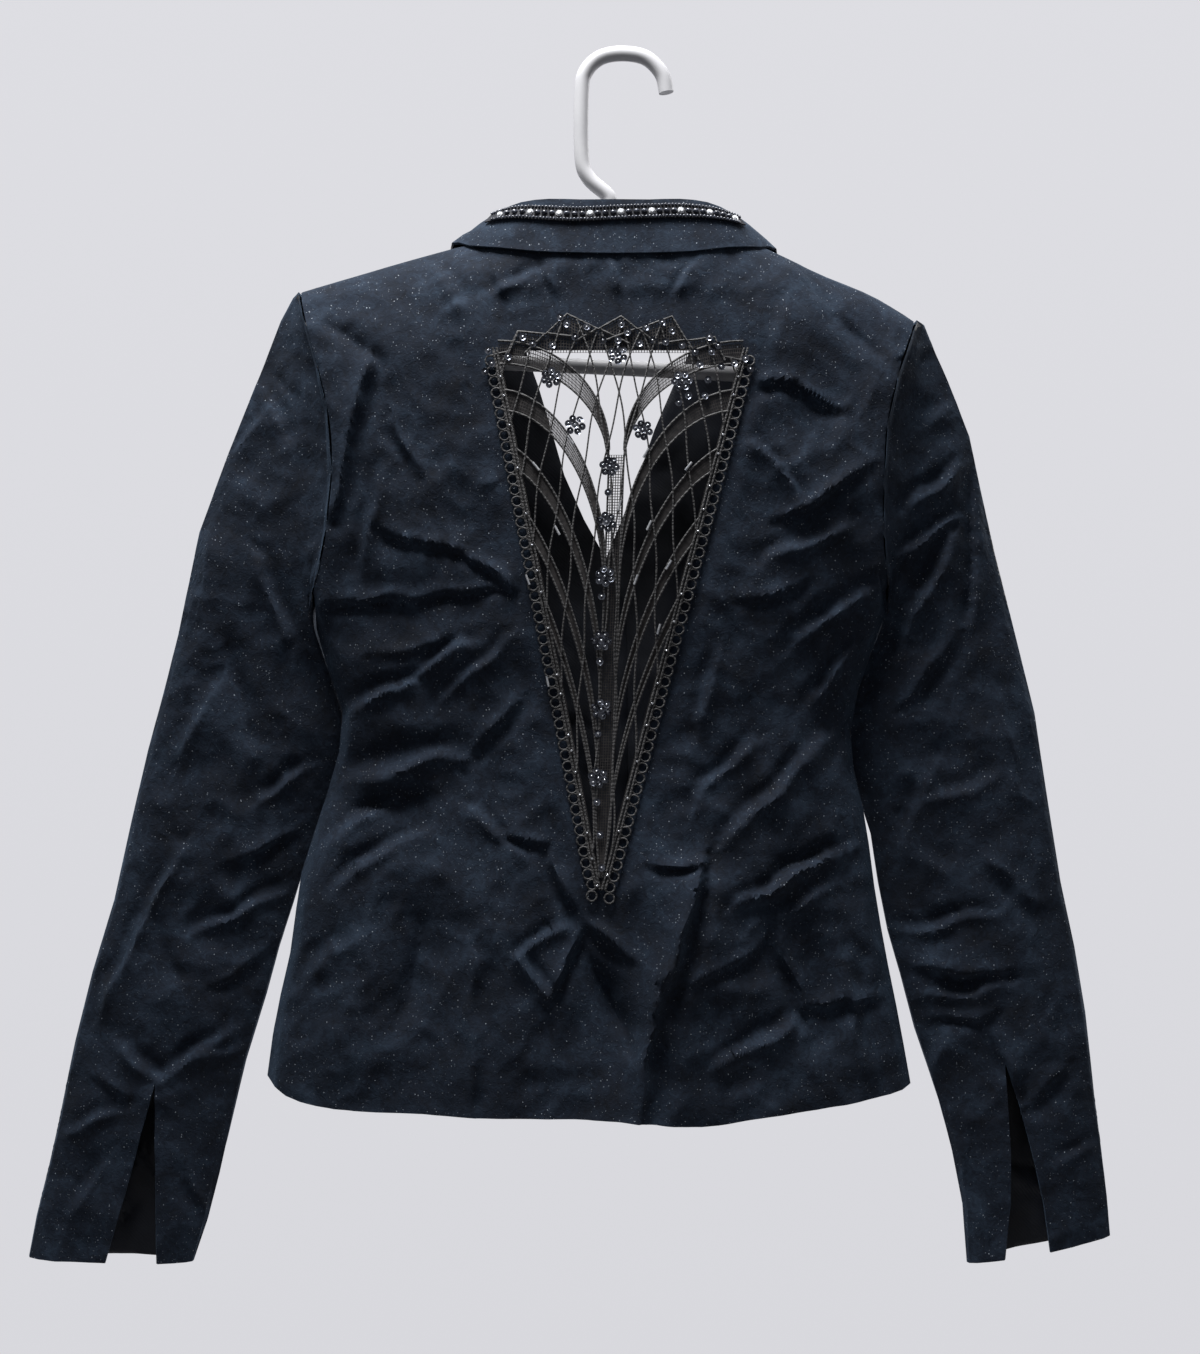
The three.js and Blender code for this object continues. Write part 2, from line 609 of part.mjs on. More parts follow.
// Unit normal of the collar, away from the neck
function collarNormal(along, over) {
  const step = 0.004;
  const a = Math.min(1 - step, Math.max(step, along));
  const o = Math.min(1 - step, Math.max(step, over));
  const du = collarPoint(a + step, o).sub(collarPoint(a - step, o));
  const dv = collarPoint(a, o + step).sub(collarPoint(a, o - step));
  return dv.cross(du).normalize();
}

function collarLayer(fromAlong, toAlong, steps, overs, lift) {
  const grid = [];
  for (let i = 0; i <= steps; i += 1) {
    const along = mix(fromAlong, toAlong, i / steps);
    const line = [];
    for (const over of overs(along)) {
      line.push(collarPoint(along, over).add(collarNormal(along, over).multiplyScalar(lift)));
    }
    grid.push(line);
  }
  return grid;
}

const collarOvers = [0, 0.2, 0.36, 0.46, 0.55, 0.63, 0.72, 0.86, 1];
function collarWall() {
  const layer = (lift) => collarLayer(0, 1, 32, () => collarOvers, lift);
  return closedWall(layer(halfWall), layer(-halfWall));
}

// The beaded strip lies on the fall, a little uneven, and starts and ends on the sides of the neck
const trim = {
  from: 0.25, to: 0.75, steps: 28, centre: 0.75, half: 0.05, wave: 0.012, waves: 19,
  thickness: 1, lift: 0.5,
};
function collarTrim() {
  const overs = (along) => {
    const middle = trim.centre + trim.wave * Math.sin(along * trim.waves);
    return [middle - trim.half, middle, middle + trim.half];
  };
  const layer = (lift) => (
    collarLayer(trim.from, trim.to, trim.steps, overs, halfWall + trim.lift + lift)
  );
  return closedWall(layer(trim.thickness), layer(0));
}

// A sleeve's outer skin: ring counts down the arm, turn goes from the outer edge round the back
const ringCount = 17;
function ringValue(side, ring, key) {
  const rows = sleeveRings[side].map((row, at) => ({ ...row, at }));
  return curve(rows, 'at', key)(ring);
}

function sleevePoint(side, ring, turn, inset) {
  const v = (key) => ringValue(side, ring, key);
  const outer = new THREE.Vector3(v('ox'), v('oy'), v('oz'));
  const inner = new THREE.Vector3(v('ix'), v('iy'), v('iz'));
  const chord = inner.clone().sub(outer);
  const step = chord.clone().setY(0).normalize().multiplyScalar(inset);
  outer.add(step);
  inner.sub(step);
  const middle = outer.clone().lerp(inner, 0.5);
  const point = middle.clone().lerp(outer, Math.cos(turn));
  const face = Math.sin(turn) >= 0 ? 'back' : 'front';
  const sine = Math.abs(Math.sin(turn));
  const armZ = point.z;
  const arm = faces[face].arm;
  const armShape = armholeDepth(side, armZ, arm) * shoulderTurn(edgeX[side](armZ), armZ);
  const plain = (v('depth') - inset) * sine;
  const depth = mix(plain, Math.max(0, armShape - inset * sine), clamp01(1 - ring));
  point.y += (face === 'back' ? -1 : 1) * depth;
  const bow = edgeX[side](armZ) + (side === 'left' ? -1 : 1) * 2 * seamGap - point.x;
  point.x += bow * (1 - (1 - sine) ** 3) * smooth01(1 - ring / 5);
  return point;
}

// Turn round a sleeve at a share of its flat width, on its back or on its front
const turnAt = (share, onBack) => (onBack ? 1 : -1) * Math.acos(1 - 2 * share);

function seamShares(side, ring) {
  const seam = sleeveSeams[side];
  const cuffRing = ringCount - 1;
  if (ring <= seam.slitRing) {
    const share = mix(seam.top, seam.slitShare, smooth01(ring / seam.slitRing));
    return { outer: share, inner: share };
  }
  const t = (ring - seam.slitRing) / (cuffRing - seam.slitRing);
  return {
    outer: mix(seam.slitShare - 0.008, seam.outerEdge, t ** 0.8),
    inner: mix(seam.slitShare + 0.008, seam.innerEdge, t ** 1.1),
  };
}

// Half of a sleeve seam's gap, as a turn round the ring
function halfSeam(side, ring, turn) {
  const v = (key) => ringValue(side, ring, key);
  const halfWidth = Math.hypot(v('ix') - v('ox'), v('iz') - v('oz')) / 2;
  return seamGap / 2 / Math.hypot(halfWidth * Math.sin(turn), v('depth') * Math.cos(turn));
}

function sleeveWall(side, part, from = 0, to = ringCount - 1) {
  const places = [];
  for (let i = 0; i <= 12; i += 1) places.push(i);
  places.push(sleeveSeams[side].slitRing, 13.2, 14, 15, 16);
  const rings = [from, ...places.filter((ring) => ring > from + 0.1 && ring < to - 0.1), to];
  const columns = part === 'upper' ? 11 : 8;
  const layers = [0, clothWall].map((inset) => rings.map((ring) => {
    const shares = seamShares(side, ring);
    const ends = part === 'upper'
      ? [turnAt(frontSeamShare, false), turnAt(shares.outer, true)]
      : [turnAt(shares.inner, true), 2 * Math.PI + turnAt(frontSeamShare, false)];
    const [start, end] = [ends[0] + halfSeam(side, ring, ends[0]), ends[1] - halfSeam(side, ring, ends[1])];
    const line = [];
    for (let j = 0; j <= columns; j += 1) {
      const turn = mix(start, end, j / columns);
      line.push(sleevePoint(side, ring, turn, inset));
    }
    return line;
  }));
  return closedWall(layers[0], layers[1]);
}

// One arc of the lace as a place along it, from the border to the middle bar
function laceArc(startZ, endZ, steep, t, sign) {
  const startX = wedgeMiddle(startZ) + sign * wedgeHalf(Math.min(wedge.topZ, startZ));
  const endX = wedgeMiddle(endZ) + sign * Math.min(centreBar, wedgeHalf(endZ) * 0.5);
  const angle = t * Math.PI / 2;
  const fall = (1 - steep) * (1 - Math.cos(angle)) + steep * Math.sin(angle);
  return new THREE.Vector2(mix(startX, endX, Math.sin(angle)), mix(startZ, endZ, fall));
}

const arcSteps = 9;
const arcStart = 0.04; // keeps the strips off the border
function laceArcs(startZ, endZ, steep, sign) {
  const points = [];
  for (let k = 0; k <= arcSteps; k += 1) {
    points.push(laceArc(startZ, endZ, steep, mix(arcStart, 1, k / arcSteps), sign));
  }
  return points;
}

function prism(points, fromY, depth) {
  const shape = new THREE.Shape(points);
  const geometry = new THREE.ExtrudeGeometry(shape, { depth, bevelEnabled: false });
  geometry.translate(0, 0, fromY);
  return toSolid(geometry);
}

// The open strip between two neighbouring bars, and the window over the first bars
function openStrip(upper, lower, sign) {
  return prism([
    ...laceArcs(upper.startLow, upper.endLow, upper.steep, sign),
    ...laceArcs(lower.startUp, lower.endUp, lower.steep, sign).reverse(),
  ], -1, laceWall + 2);
}

function openWindow() {
  const first = laceBars[0];
  const halves = [-1, 1].map((sign) => {
    const points = laceArcs(first.startUp, first.endUp, first.steep, sign);
    return points.filter((p) => p.y < windowTop - 3)
      .map((p) => new THREE.Vector2(p.x - sign * cordWidth, p.y));
  });
  const top = halves.map((points) => (
    new THREE.Vector2(points[0].x + 3 * Math.sign(points[0].x), windowTop)
  ));
  return prism([top[0], ...halves[0], ...halves[1].reverse(), top[1]], -1, laceWall + 2);
}

function leaningCord(index, sign) {
  const left = [];
  const right = [];
  for (let z = cords.topZ; z > wedge.tipZ + 30; z -= 22) {
    const out = cords.first + cords.pitch * index
      + cords.lean * (1 - Math.exp((z - cords.topZ) / cords.leanFall));
    const x = wedgeMiddle(z) + sign * out;
    left.push(new THREE.Vector2(x - cordWidth / 2, z));
    right.unshift(new THREE.Vector2(x + cordWidth / 2, z));
  }
  return prism([...left, ...right], -1.5, laceWall + 3);
}

function laceOutline() {
  const points = laceTop.map((row) => new THREE.Vector2(row.x, row.z));
  const edge = (z, sign, out) => new THREE.Vector2(
    wedgeMiddle(z) + sign * (Math.max(0, wedgeHalf(z)) + laceBorder + out), z);
  const bottomZ = wedge.tipZ - 8;
  const count = Math.round((laceTop[0].z - 6 - bottomZ) / scallopPitch);
  for (const sign of [1, -1]) {
    for (let i = 0; i <= count; i += 1) {
      const t = sign > 0 ? i / count : 1 - i / count;
      const z = mix(laceTop[0].z - 9, bottomZ, t);
      const narrow = z < wedge.tipZ + 20 ? mix(1, 0.35, (wedge.tipZ + 20 - z) / 28) : 1;
      const point = edge(z, sign, (i % 2 === 0 ? 0 : scallopDepth));
      point.x = wedgeMiddle(z) + (point.x - wedgeMiddle(z)) * narrow;
      points.push(point);
    }
  }
  return points;
}

const longestLaceEdge = 34;
function laceInset() {
  const sheet = prism(laceOutline(), 0, laceWall);
  const sides = [-1, 1].map((sign) => {
    const indices = [...Array(cords.count).keys()];
    const crossing = wasm.Manifold.union(indices.map((index) => leaningCord(index, sign)));
    const strips = laceBars.slice(1).map((lower, k) => openStrip(laceBars[k], lower, sign));
    return { crossing, open: wasm.Manifold.union(strips).subtract(crossing) };
  });
  const window = openWindow().subtract(sides[0].crossing).subtract(sides[1].crossing);
  const cut = sheet.subtract(wasm.Manifold.union([sides[0].open, sides[1].open, window]));
  const geometry = toGeometry(cut.refineToLength(longestLaceEdge));
  const place = geometry.attributes.position;
  for (let i = 0; i < place.count; i += 1) {
    const x = place.getX(i);
    const z = place.getY(i);
    place.setXYZ(i, x, bodyY('back', x, z) - laceLift - place.getZ(i), z);
  }
  return geometry;
}

function roundTube(route, closed, sides, steps) {
  const points = route.map((row) => new THREE.Vector3(row.x, 0, row.z));
  const path = new THREE.CatmullRomCurve3(points, closed);
  const ring = new THREE.Shape();
  for (let i = 0; i < sides; i += 1) {
    const angle = (i / sides) * 2 * Math.PI;
    const [x, y] = [tubeRadius * Math.cos(angle), tubeRadius * Math.sin(angle)];
    if (i === 0) ring.moveTo(x, y);
    else ring.lineTo(x, y);
  }
  return new THREE.ExtrudeGeometry(ring, { steps, extrudePath: path, bevelEnabled: false });
}

function button(z) {
  const geometry = new THREE.CylinderGeometry(buttonRadius, buttonRadius - 0.6, buttonThickness, 20);
  const lift = frontGap + overlapLift + 2.5 * seamGap + buttonThickness / 2;
  geometry.translate(buttonX, bodyY('front', buttonX, z) + lift, z);
  return geometry;
}

// Materials
const cloth = new THREE.MeshStandardMaterial({ color: '#1b202c', roughness: 0.85, metalness: 0 });
const lace = new THREE.MeshStandardMaterial({ color: '#1e1c1c', roughness: 0.7, metalness: 0 });
const beads = new THREE.MeshStandardMaterial({ color: '#23232a', roughness: 0.35, metalness: 0 });
const plastic = new THREE.MeshStandardMaterial({ color: '#e9e9ea', roughness: 0.45, metalness: 0 });
const horn = new THREE.MeshStandardMaterial({ color: '#15161c', roughness: 0.4, metalness: 0 });

const group = new THREE.Group();
function add(name, geometry, material) {
  const mesh = new THREE.Mesh(geometry, material);
  mesh.name = name;
  group.add(mesh);
}

add('back', backPanel(), cloth);
for (const side of ['left', 'right']) {
  add(`front_${side}`, frontPanel(side), cloth);
  add(`lapel_${side}`, lapelPanel(side), cloth);
  const halfGap = seamGap / 2 / elbowRingPitch;
  add(`sleeve_upper_${side}`, sleeveWall(side, 'upper', 0, elbowRing - halfGap), cloth);
  add(`sleeve_upper_${side}_fore`, sleeveWall(side, 'upper', elbowRing + halfGap), cloth);
  add(`sleeve_under_${side}`, sleeveWall(side, 'under'), cloth);
}
add('collar', collarWall(), cloth);
add('collar_trim', collarTrim(), beads);
add('lace_inset', laceInset(), lace);
buttonRows.forEach((z, i) => add(`button_${i + 1}`, button(z), horn));
add('hanger_hook', roundTube(hookRoute, false, 8, 22), plastic);
add('hanger_frame', roundTube(frameRoute, true, 8, 44), plastic);

export default group;
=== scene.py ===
import math
import random

import bmesh
import bpy
import numpy as np
from mathutils import Matrix, Vector, noise


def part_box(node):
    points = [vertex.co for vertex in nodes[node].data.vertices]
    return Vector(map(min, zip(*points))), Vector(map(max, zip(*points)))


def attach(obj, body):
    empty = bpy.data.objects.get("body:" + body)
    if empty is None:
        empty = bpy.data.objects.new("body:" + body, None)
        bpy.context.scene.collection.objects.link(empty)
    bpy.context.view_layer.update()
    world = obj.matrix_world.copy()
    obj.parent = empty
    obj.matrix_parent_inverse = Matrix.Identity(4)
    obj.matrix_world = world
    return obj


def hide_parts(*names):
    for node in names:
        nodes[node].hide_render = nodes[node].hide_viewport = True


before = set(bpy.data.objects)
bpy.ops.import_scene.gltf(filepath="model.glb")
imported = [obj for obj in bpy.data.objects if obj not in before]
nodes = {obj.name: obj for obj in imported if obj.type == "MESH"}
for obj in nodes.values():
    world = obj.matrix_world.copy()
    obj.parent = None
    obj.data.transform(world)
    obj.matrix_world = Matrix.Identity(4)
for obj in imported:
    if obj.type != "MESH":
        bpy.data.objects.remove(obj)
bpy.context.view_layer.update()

mm = 0.001


# Curves shared by the pieces; numbers are in millimetres, as in the CAD
def mix(a, b, t):
    return a + (b - a) * t


def smooth01(t):
    t = min(1.0, max(0.0, t))
    return t * t * (3 - 2 * t)


def curveAt(rows, at):
    # smooth curve through rows of (place, value), level past its ends
    if at <= rows[0][0]:
        return rows[0][1]
    if at >= rows[-1][0]:
        return rows[-1][1]
    i = next(k for k, row in enumerate(rows) if row[0] > at) - 1

    def slope(k):
        a, b = rows[max(0, k - 1)], rows[min(len(rows) - 1, k + 1)]
        return (b[1] - a[1]) / (b[0] - a[0])

    span = rows[i + 1][0] - rows[i][0]
    t = (at - rows[i][0]) / span
    return (
        (2 * t ** 3 - 3 * t ** 2 + 1) * rows[i][1]
        + (t ** 3 - 2 * t ** 2 + t) * span * slope(i)
        + (3 * t ** 2 - 2 * t ** 3) * rows[i + 1][1]
        + (t ** 3 - t ** 2) * span * slope(i + 1)
    )


# Form of the blazer's back: edges, depth behind the seams' plane, shoulder line
body = {
    "left": [(-655, -226), (-605, -219), (-560, -209), (-515, -203), (-480, -192), (-445, -181),
             (-415, -176), (-378, -188), (-348, -194), (-305, -184), (-262, -179), (-230, -180.5),
             (-195, -188.5), (-165, -197), (-140, -203)],
    "right": [(-655, 184), (-605, 175), (-560, 166), (-515, 158.5), (-480, 154), (-445, 146),
              (-415, 145), (-378, 156), (-348, 167), (-305, 161.5), (-262, 161), (-230, 163.5),
              (-195, 172), (-165, 183), (-140, 187)],
    "depth": [(-660, 42), (-560, 39), (-480, 35), (-415, 34), (-340, 40), (-260, 42), (-180, 40),
              (-110, 34)],
    "shoulder": [(-202, -146), (-174, -138), (-128, -124.5), (-86, -114), (-50, -112), (40, -112),
                 (76, -113.5), (92, -120), (123, -135), (156, -148.5), (184, -164)],
    "underarm": (-350, -346),
    "armMiddle": (-248, -255),
    "armDepth": 27,
    "neckX": -5,
    "neckHalf": 82,
    "neckDepth": 30,
    "round": 60,
}
wedge = {"topZ": -189.5, "tipZ": -521, "halfTop": 75, "topX": -1.5, "tipX": -13.5, "border": 10}


def wedgeMiddle(z):
    return mix(wedge["tipX"], wedge["topX"], (z - wedge["tipZ"]) / (wedge["topZ"] - wedge["tipZ"]))


def wedgeHalf(z):
    return wedge["halfTop"] * (z - wedge["tipZ"]) / (wedge["topZ"] - wedge["tipZ"])


def laceMask(x, z):
    # 0 where the lace lies, 1 a little way out on the cloth
    reach = abs(x - wedgeMiddle(z)) - max(0, wedgeHalf(z)) - wedge["border"]
    return smooth01(max(reach, wedge["tipZ"] - 14 - z, z - wedge["topZ"] - 30) / 12)


def backDepth(x, z):
    left, right = curveAt(body["left"], z), curveAt(body["right"], z)
    share = (x - (left + right) / 2) / ((right - left) / 2)
    side = 0 if share < 0 else 1
    under, middle = body["underarm"][side], body["armMiddle"][side]
    fall = (middle - z) / (middle - under)
    arm = 0 if z <= under else body["armDepth"] * math.sqrt(1 - min(1, max(0, fall)) ** 2)
    bend = 1 - 0.25 * smooth01((z - under) / 60)
    flat = math.sqrt(1 - bend * bend)
    profile = (math.sqrt(max(0, 1 - (share * bend) ** 2)) - flat) / (1 - flat)
    full = arm + (curveAt(body["depth"], z) - arm) * profile
    across = (x - body["neckX"]) / body["neckHalf"]
    neck = body["neckDepth"] * math.sqrt(max(0, 1 - across * across))
    t = min(1, max(0, (curveAt(body["shoulder"], x) - z) / body["round"]))
    return neck + (full - neck) * math.sqrt(1 - (1 - t) ** 2)


def onBack(x, z, lift):
    # a place on the lace, lift millimetres off the back's outer face
    return Vector((x, -backDepth(x, z) - lift, z)) * mm


# Materials
def hexColour(text):
    parts = [int(text[i:i + 2], 16) / 255 for i in (1, 3, 5)]
    linear = [c / 12.92 if c <= 0.04045 else ((c + 0.055) / 1.055) ** 2.4 for c in parts]
    return (*linear, 1)


def addNode(tree, kind, values=None, links=None, stops=(), **settings):
    node = tree.nodes.new(kind)
    for key, value in settings.items():
        setattr(node, key, value)
    while stops and len(node.color_ramp.elements) < len(stops):
        node.color_ramp.elements.new(0.5)
    for at, (position, colour) in enumerate(stops):
        node.color_ramp.elements[at].position = position
        node.color_ramp.elements[at].color = hexColour(colour)
    for key, value in (values or {}).items():
        node.inputs[key].default_value = value
    for key, socket in (links or {}).items():
        tree.links.new(socket, node.inputs[key])
    return node


def newMaterial(name, values):
    material = bpy.data.materials.new(name)
    material.use_nodes = True
    tree = material.node_tree
    tree.nodes.clear()
    shader = addNode(tree, "ShaderNodeBsdfPrincipled", values)
    addNode(tree, "ShaderNodeOutputMaterial", links={"Surface": shader.outputs["BSDF"]})
    place = addNode(tree, "ShaderNodeTexCoord").outputs["Object"]
    return material, tree, shader, place


# Crushed velvet: short nylon pile pressed into patches, with foil glitter bonded on it
velvet = {
    "dark": "#0f131c", "body": "#19212e", "raised": "#2d3a4a", "glitter": "#a9b2bd",
    "sheenTint": "#7694b4", "sheen": 0.22,
    "patchMm": 30, "napMm": 5, "pileMm": 1.1, "crushMm": 26,
    "bumpMm": 0.7, "crushBumpMm": 3.0,
    # size of a glitter cell, share of it that shines, and how few cells have any
    "glitterCells": [(1.9, 0.17, 0.82), (0.95, 0.2, 0.9)],
}


def makeVelvet():
    material, tree, shader, place = newMaterial("crushedVelvet", {
        "Sheen Weight": velvet["sheen"],
        "Sheen Roughness": 0.45,
        "Sheen Tint": hexColour(velvet["sheenTint"]),
        "Specular IOR Level": 0.25,
    })
    patch = addNode(tree, "ShaderNodeTexNoise", {"Scale": 1000 / velvet["patchMm"], "Detail": 4.0,
                    "Roughness": 0.6, "Distortion": 0.8}, {"Vector": place})
    nap = addNode(tree, "ShaderNodeTexNoise", {"Scale": 1000 / velvet["napMm"], "Detail": 3.0,
                  "Roughness": 0.65, "Distortion": 1.2}, {"Vector": place})
    pile = addNode(tree, "ShaderNodeTexNoise", {"Scale": 1000 / velvet["pileMm"], "Detail": 2.0},
                   {"Vector": place})
    blend = addNode(tree, "ShaderNodeMath", {1: 0.6}, {0: patch.outputs["Fac"]},
                    operation="MULTIPLY")
    blend = addNode(tree, "ShaderNodeMath", {1: 0.4}, {0: nap.outputs["Fac"],
                    2: blend.outputs[0]}, operation="MULTIPLY_ADD")
    colour = addNode(tree, "ShaderNodeValToRGB", links={"Fac": blend.outputs[0]},
                     stops=[(0.34, velvet["dark"]), (0.5, velvet["body"]),
                            (0.72, velvet["raised"])]).outputs["Color"]
    shine = None
    for cellMm, share, few in velvet["glitterCells"]:
        cells = addNode(tree, "ShaderNodeTexVoronoi", {"Scale": 1000 / cellMm}, {"Vector": place})
        near = addNode(tree, "ShaderNodeMath", {1: share}, {0: cells.outputs["Distance"]},
                       operation="LESS_THAN")
        split = addNode(tree, "ShaderNodeSeparateColor", links={"Color": cells.outputs["Color"]})
        some = addNode(tree, "ShaderNodeMath", {1: few}, {0: split.outputs["Red"]},
                       operation="GREATER_THAN")
        some = addNode(tree, "ShaderNodeMath", links={0: some.outputs[0],
                       1: split.outputs["Green"]}, operation="MULTIPLY")
        speck = addNode(tree, "ShaderNodeMath", links={0: near.outputs[0], 1: some.outputs[0]},
                        operation="MULTIPLY").outputs[0]
        colour = addNode(tree, "ShaderNodeMix", {7: hexColour(velvet["glitter"])},
                         {0: speck, 6: colour}, data_type="RGBA").outputs[2]
        shine = speck if shine is None else addNode(
            tree, "ShaderNodeMath", links={0: shine, 1: speck}, operation="MAXIMUM").outputs[0]
    rough = addNode(tree, "ShaderNodeMapRange", {3: 0.88, 4: 0.3}, {0: shine})
    relief = addNode(tree, "ShaderNodeMath", {1: 0.35}, {0: pile.outputs["Fac"],
                     2: nap.outputs["Fac"]}, operation="MULTIPLY_ADD")
    crush = addNode(tree, "ShaderNodeTexNoise", {"Scale": 1000 / velvet["crushMm"],
                    "Detail": 3.0, "Roughness": 0.55, "Distortion": 0.5}, {"Vector": place},
                    noise_type="RIDGED_MULTIFRACTAL")
    folds = addNode(tree, "ShaderNodeBump", {"Strength": 0.6,
                    "Distance": velvet["crushBumpMm"] * mm}, {"Height": crush.outputs["Fac"]})
    bump = addNode(tree, "ShaderNodeBump", {"Strength": 0.6, "Distance": velvet["bumpMm"] * mm},
                   {"Height": relief.outputs[0], "Normal": folds.outputs["Normal"]})
    tree.links.new(colour, shader.inputs["Base Color"])
    tree.links.new(rough.outputs[0], shader.inputs["Roughness"])
    tree.links.new(bump.outputs["Normal"], shader.inputs["Normal"])
    return material


# Acetate satin lining: close weave, so a thin even gloss over fine threads
def makeLining():
    material, tree, shader, place = newMaterial("satinLining", {"Roughness": 0.5,
                                                "Specular IOR Level": 0.4})
    weave = addNode(tree, "ShaderNodeTexWave", {"Scale": 260.0, "Distortion": 0.6, "Detail": 1.0},
                    {"Vector": place}, bands_direction="DIAGONAL")
    soft = addNode(tree, "ShaderNodeTexNoise", {"Scale": 30.0, "Detail": 3.0}, {"Vector": place})
    base = addNode(tree, "ShaderNodeValToRGB", links={"Fac": soft.outputs["Fac"]},
                   stops=[(0.35, "#14171f"), (0.65, "#20242e")])
    bump = addNode(tree, "ShaderNodeBump", {"Strength": 0.25, "Distance": 0.2 * mm},
                   {"Height": weave.outputs["Fac"]})
    tree.links.new(base.outputs["Color"], shader.inputs["Base Color"])
    tree.links.new(bump.outputs["Normal"], shader.inputs["Normal"])
    return material


# A finish toned between two colours, for thread, beads, sequins and plastic; twistMm bands it
# instead with close slanting stripes of painted highlight and shade, as light falls on a twisted
# thread's plies
def makeToned(name, dark, light, toneMm, values, bumpMm=0.0, twistMm=0.0):
    material, tree, shader, place = newMaterial(name, values)
    tone = addNode(tree, "ShaderNodeTexNoise", {"Scale": 1000 / toneMm, "Detail": 3.0},
                   {"Vector": place})
    # twist bands: painted highlight and shade along the plies, also the bump when there is one
    if twistMm:
        tone = addNode(tree, "ShaderNodeTexWave", {"Scale": math.tau * 50 / twistMm,
                       "Distortion": 6.0, "Detail": 2.0, "Detail Scale": 2.0}, {"Vector": place},
                       bands_direction="Z")
    base = addNode(tree, "ShaderNodeValToRGB", links={"Fac": tone.outputs["Fac"]},
                   stops=[(0.35, dark), (0.65, light)])
    tree.links.new(base.outputs["Color"], shader.inputs["Base Color"])
    if bumpMm:
        bump = addNode(tree, "ShaderNodeBump", {"Strength": 0.5, "Distance": bumpMm * mm},
                       {"Height": tone.outputs["Fac"]})
        tree.links.new(bump.outputs["Normal"], shader.inputs["Normal"])
    return material


materials = {
    "velvet": makeVelvet(),
    "lining": makeLining(),
    # Rayon guipure thread: twisted, with short grey-brown dashes of painted highlight along its
    # plies
    "thread": makeToned("rayonThread", "#222224", "#504f50", 1.6,
                        {"Roughness": 0.6, "Sheen Weight": 0.2}, 0.3, 2.4),
    # Knotted nylon tulle: fine and dull
    "net": makeToned("nylonTulle", "#232122", "#3d3a3a", 3.0, {"Roughness": 0.75}),
    # PET sequins, vacuum metallised gun-metal grey
    "sequin": makeToned("metallisedSequin", "#3c3f48", "#7f838e", 2.5,
                        {"Metallic": 0.8, "Roughness": 0.2}),
    # Silver-lined glass beads: light silver, with the near-white part a painted reflection that
    # keeps them bright even in shade
    "silverBead": makeToned("silverLinedGlass", "#a9adb6", "#e6e8ec", 2.0,
                            {"Metallic": 0.6, "Roughness": 0.15}),
    # Jet and smoke glass beads of the collar strip
    "smokeBead": makeToned("smokeGlassBead", "#23252e", "#565b68", 2.2,
                           {"Roughness": 0.18, "Coat Weight": 0.6, "Coat Roughness": 0.08}),
    # Cut glass stones with a foiled back; their near-white colour is a painted reflection of the
    # foil
    "stone": makeToned("foiledRhinestone", "#d5d9e0", "#fbfcfd", 1.2,
                       {"Specular IOR Level": 0.9, "Roughness": 0.12, "Coat Weight": 1.0}),
    # Woven ribbon under the beads
    "ribbon": makeToned("rayonRibbon", "#16171e", "#282a33", 1.4, {"Roughness": 0.7}, 0.2),
    # Blow-moulded polypropylene hanger: smooth, with a waxy gloss
    "hanger": makeToned("mouldedPolypropylene", "#c2c2c6", "#cfcfd2", 40.0, {"Roughness": 0.42}),
    # Cast polyester button
    "button": makeToned("castPolyester", "#12131a", "#20222b", 6.0,
                        {"Roughness": 0.3, "Coat Weight": 0.4}),
}
print("materials made")


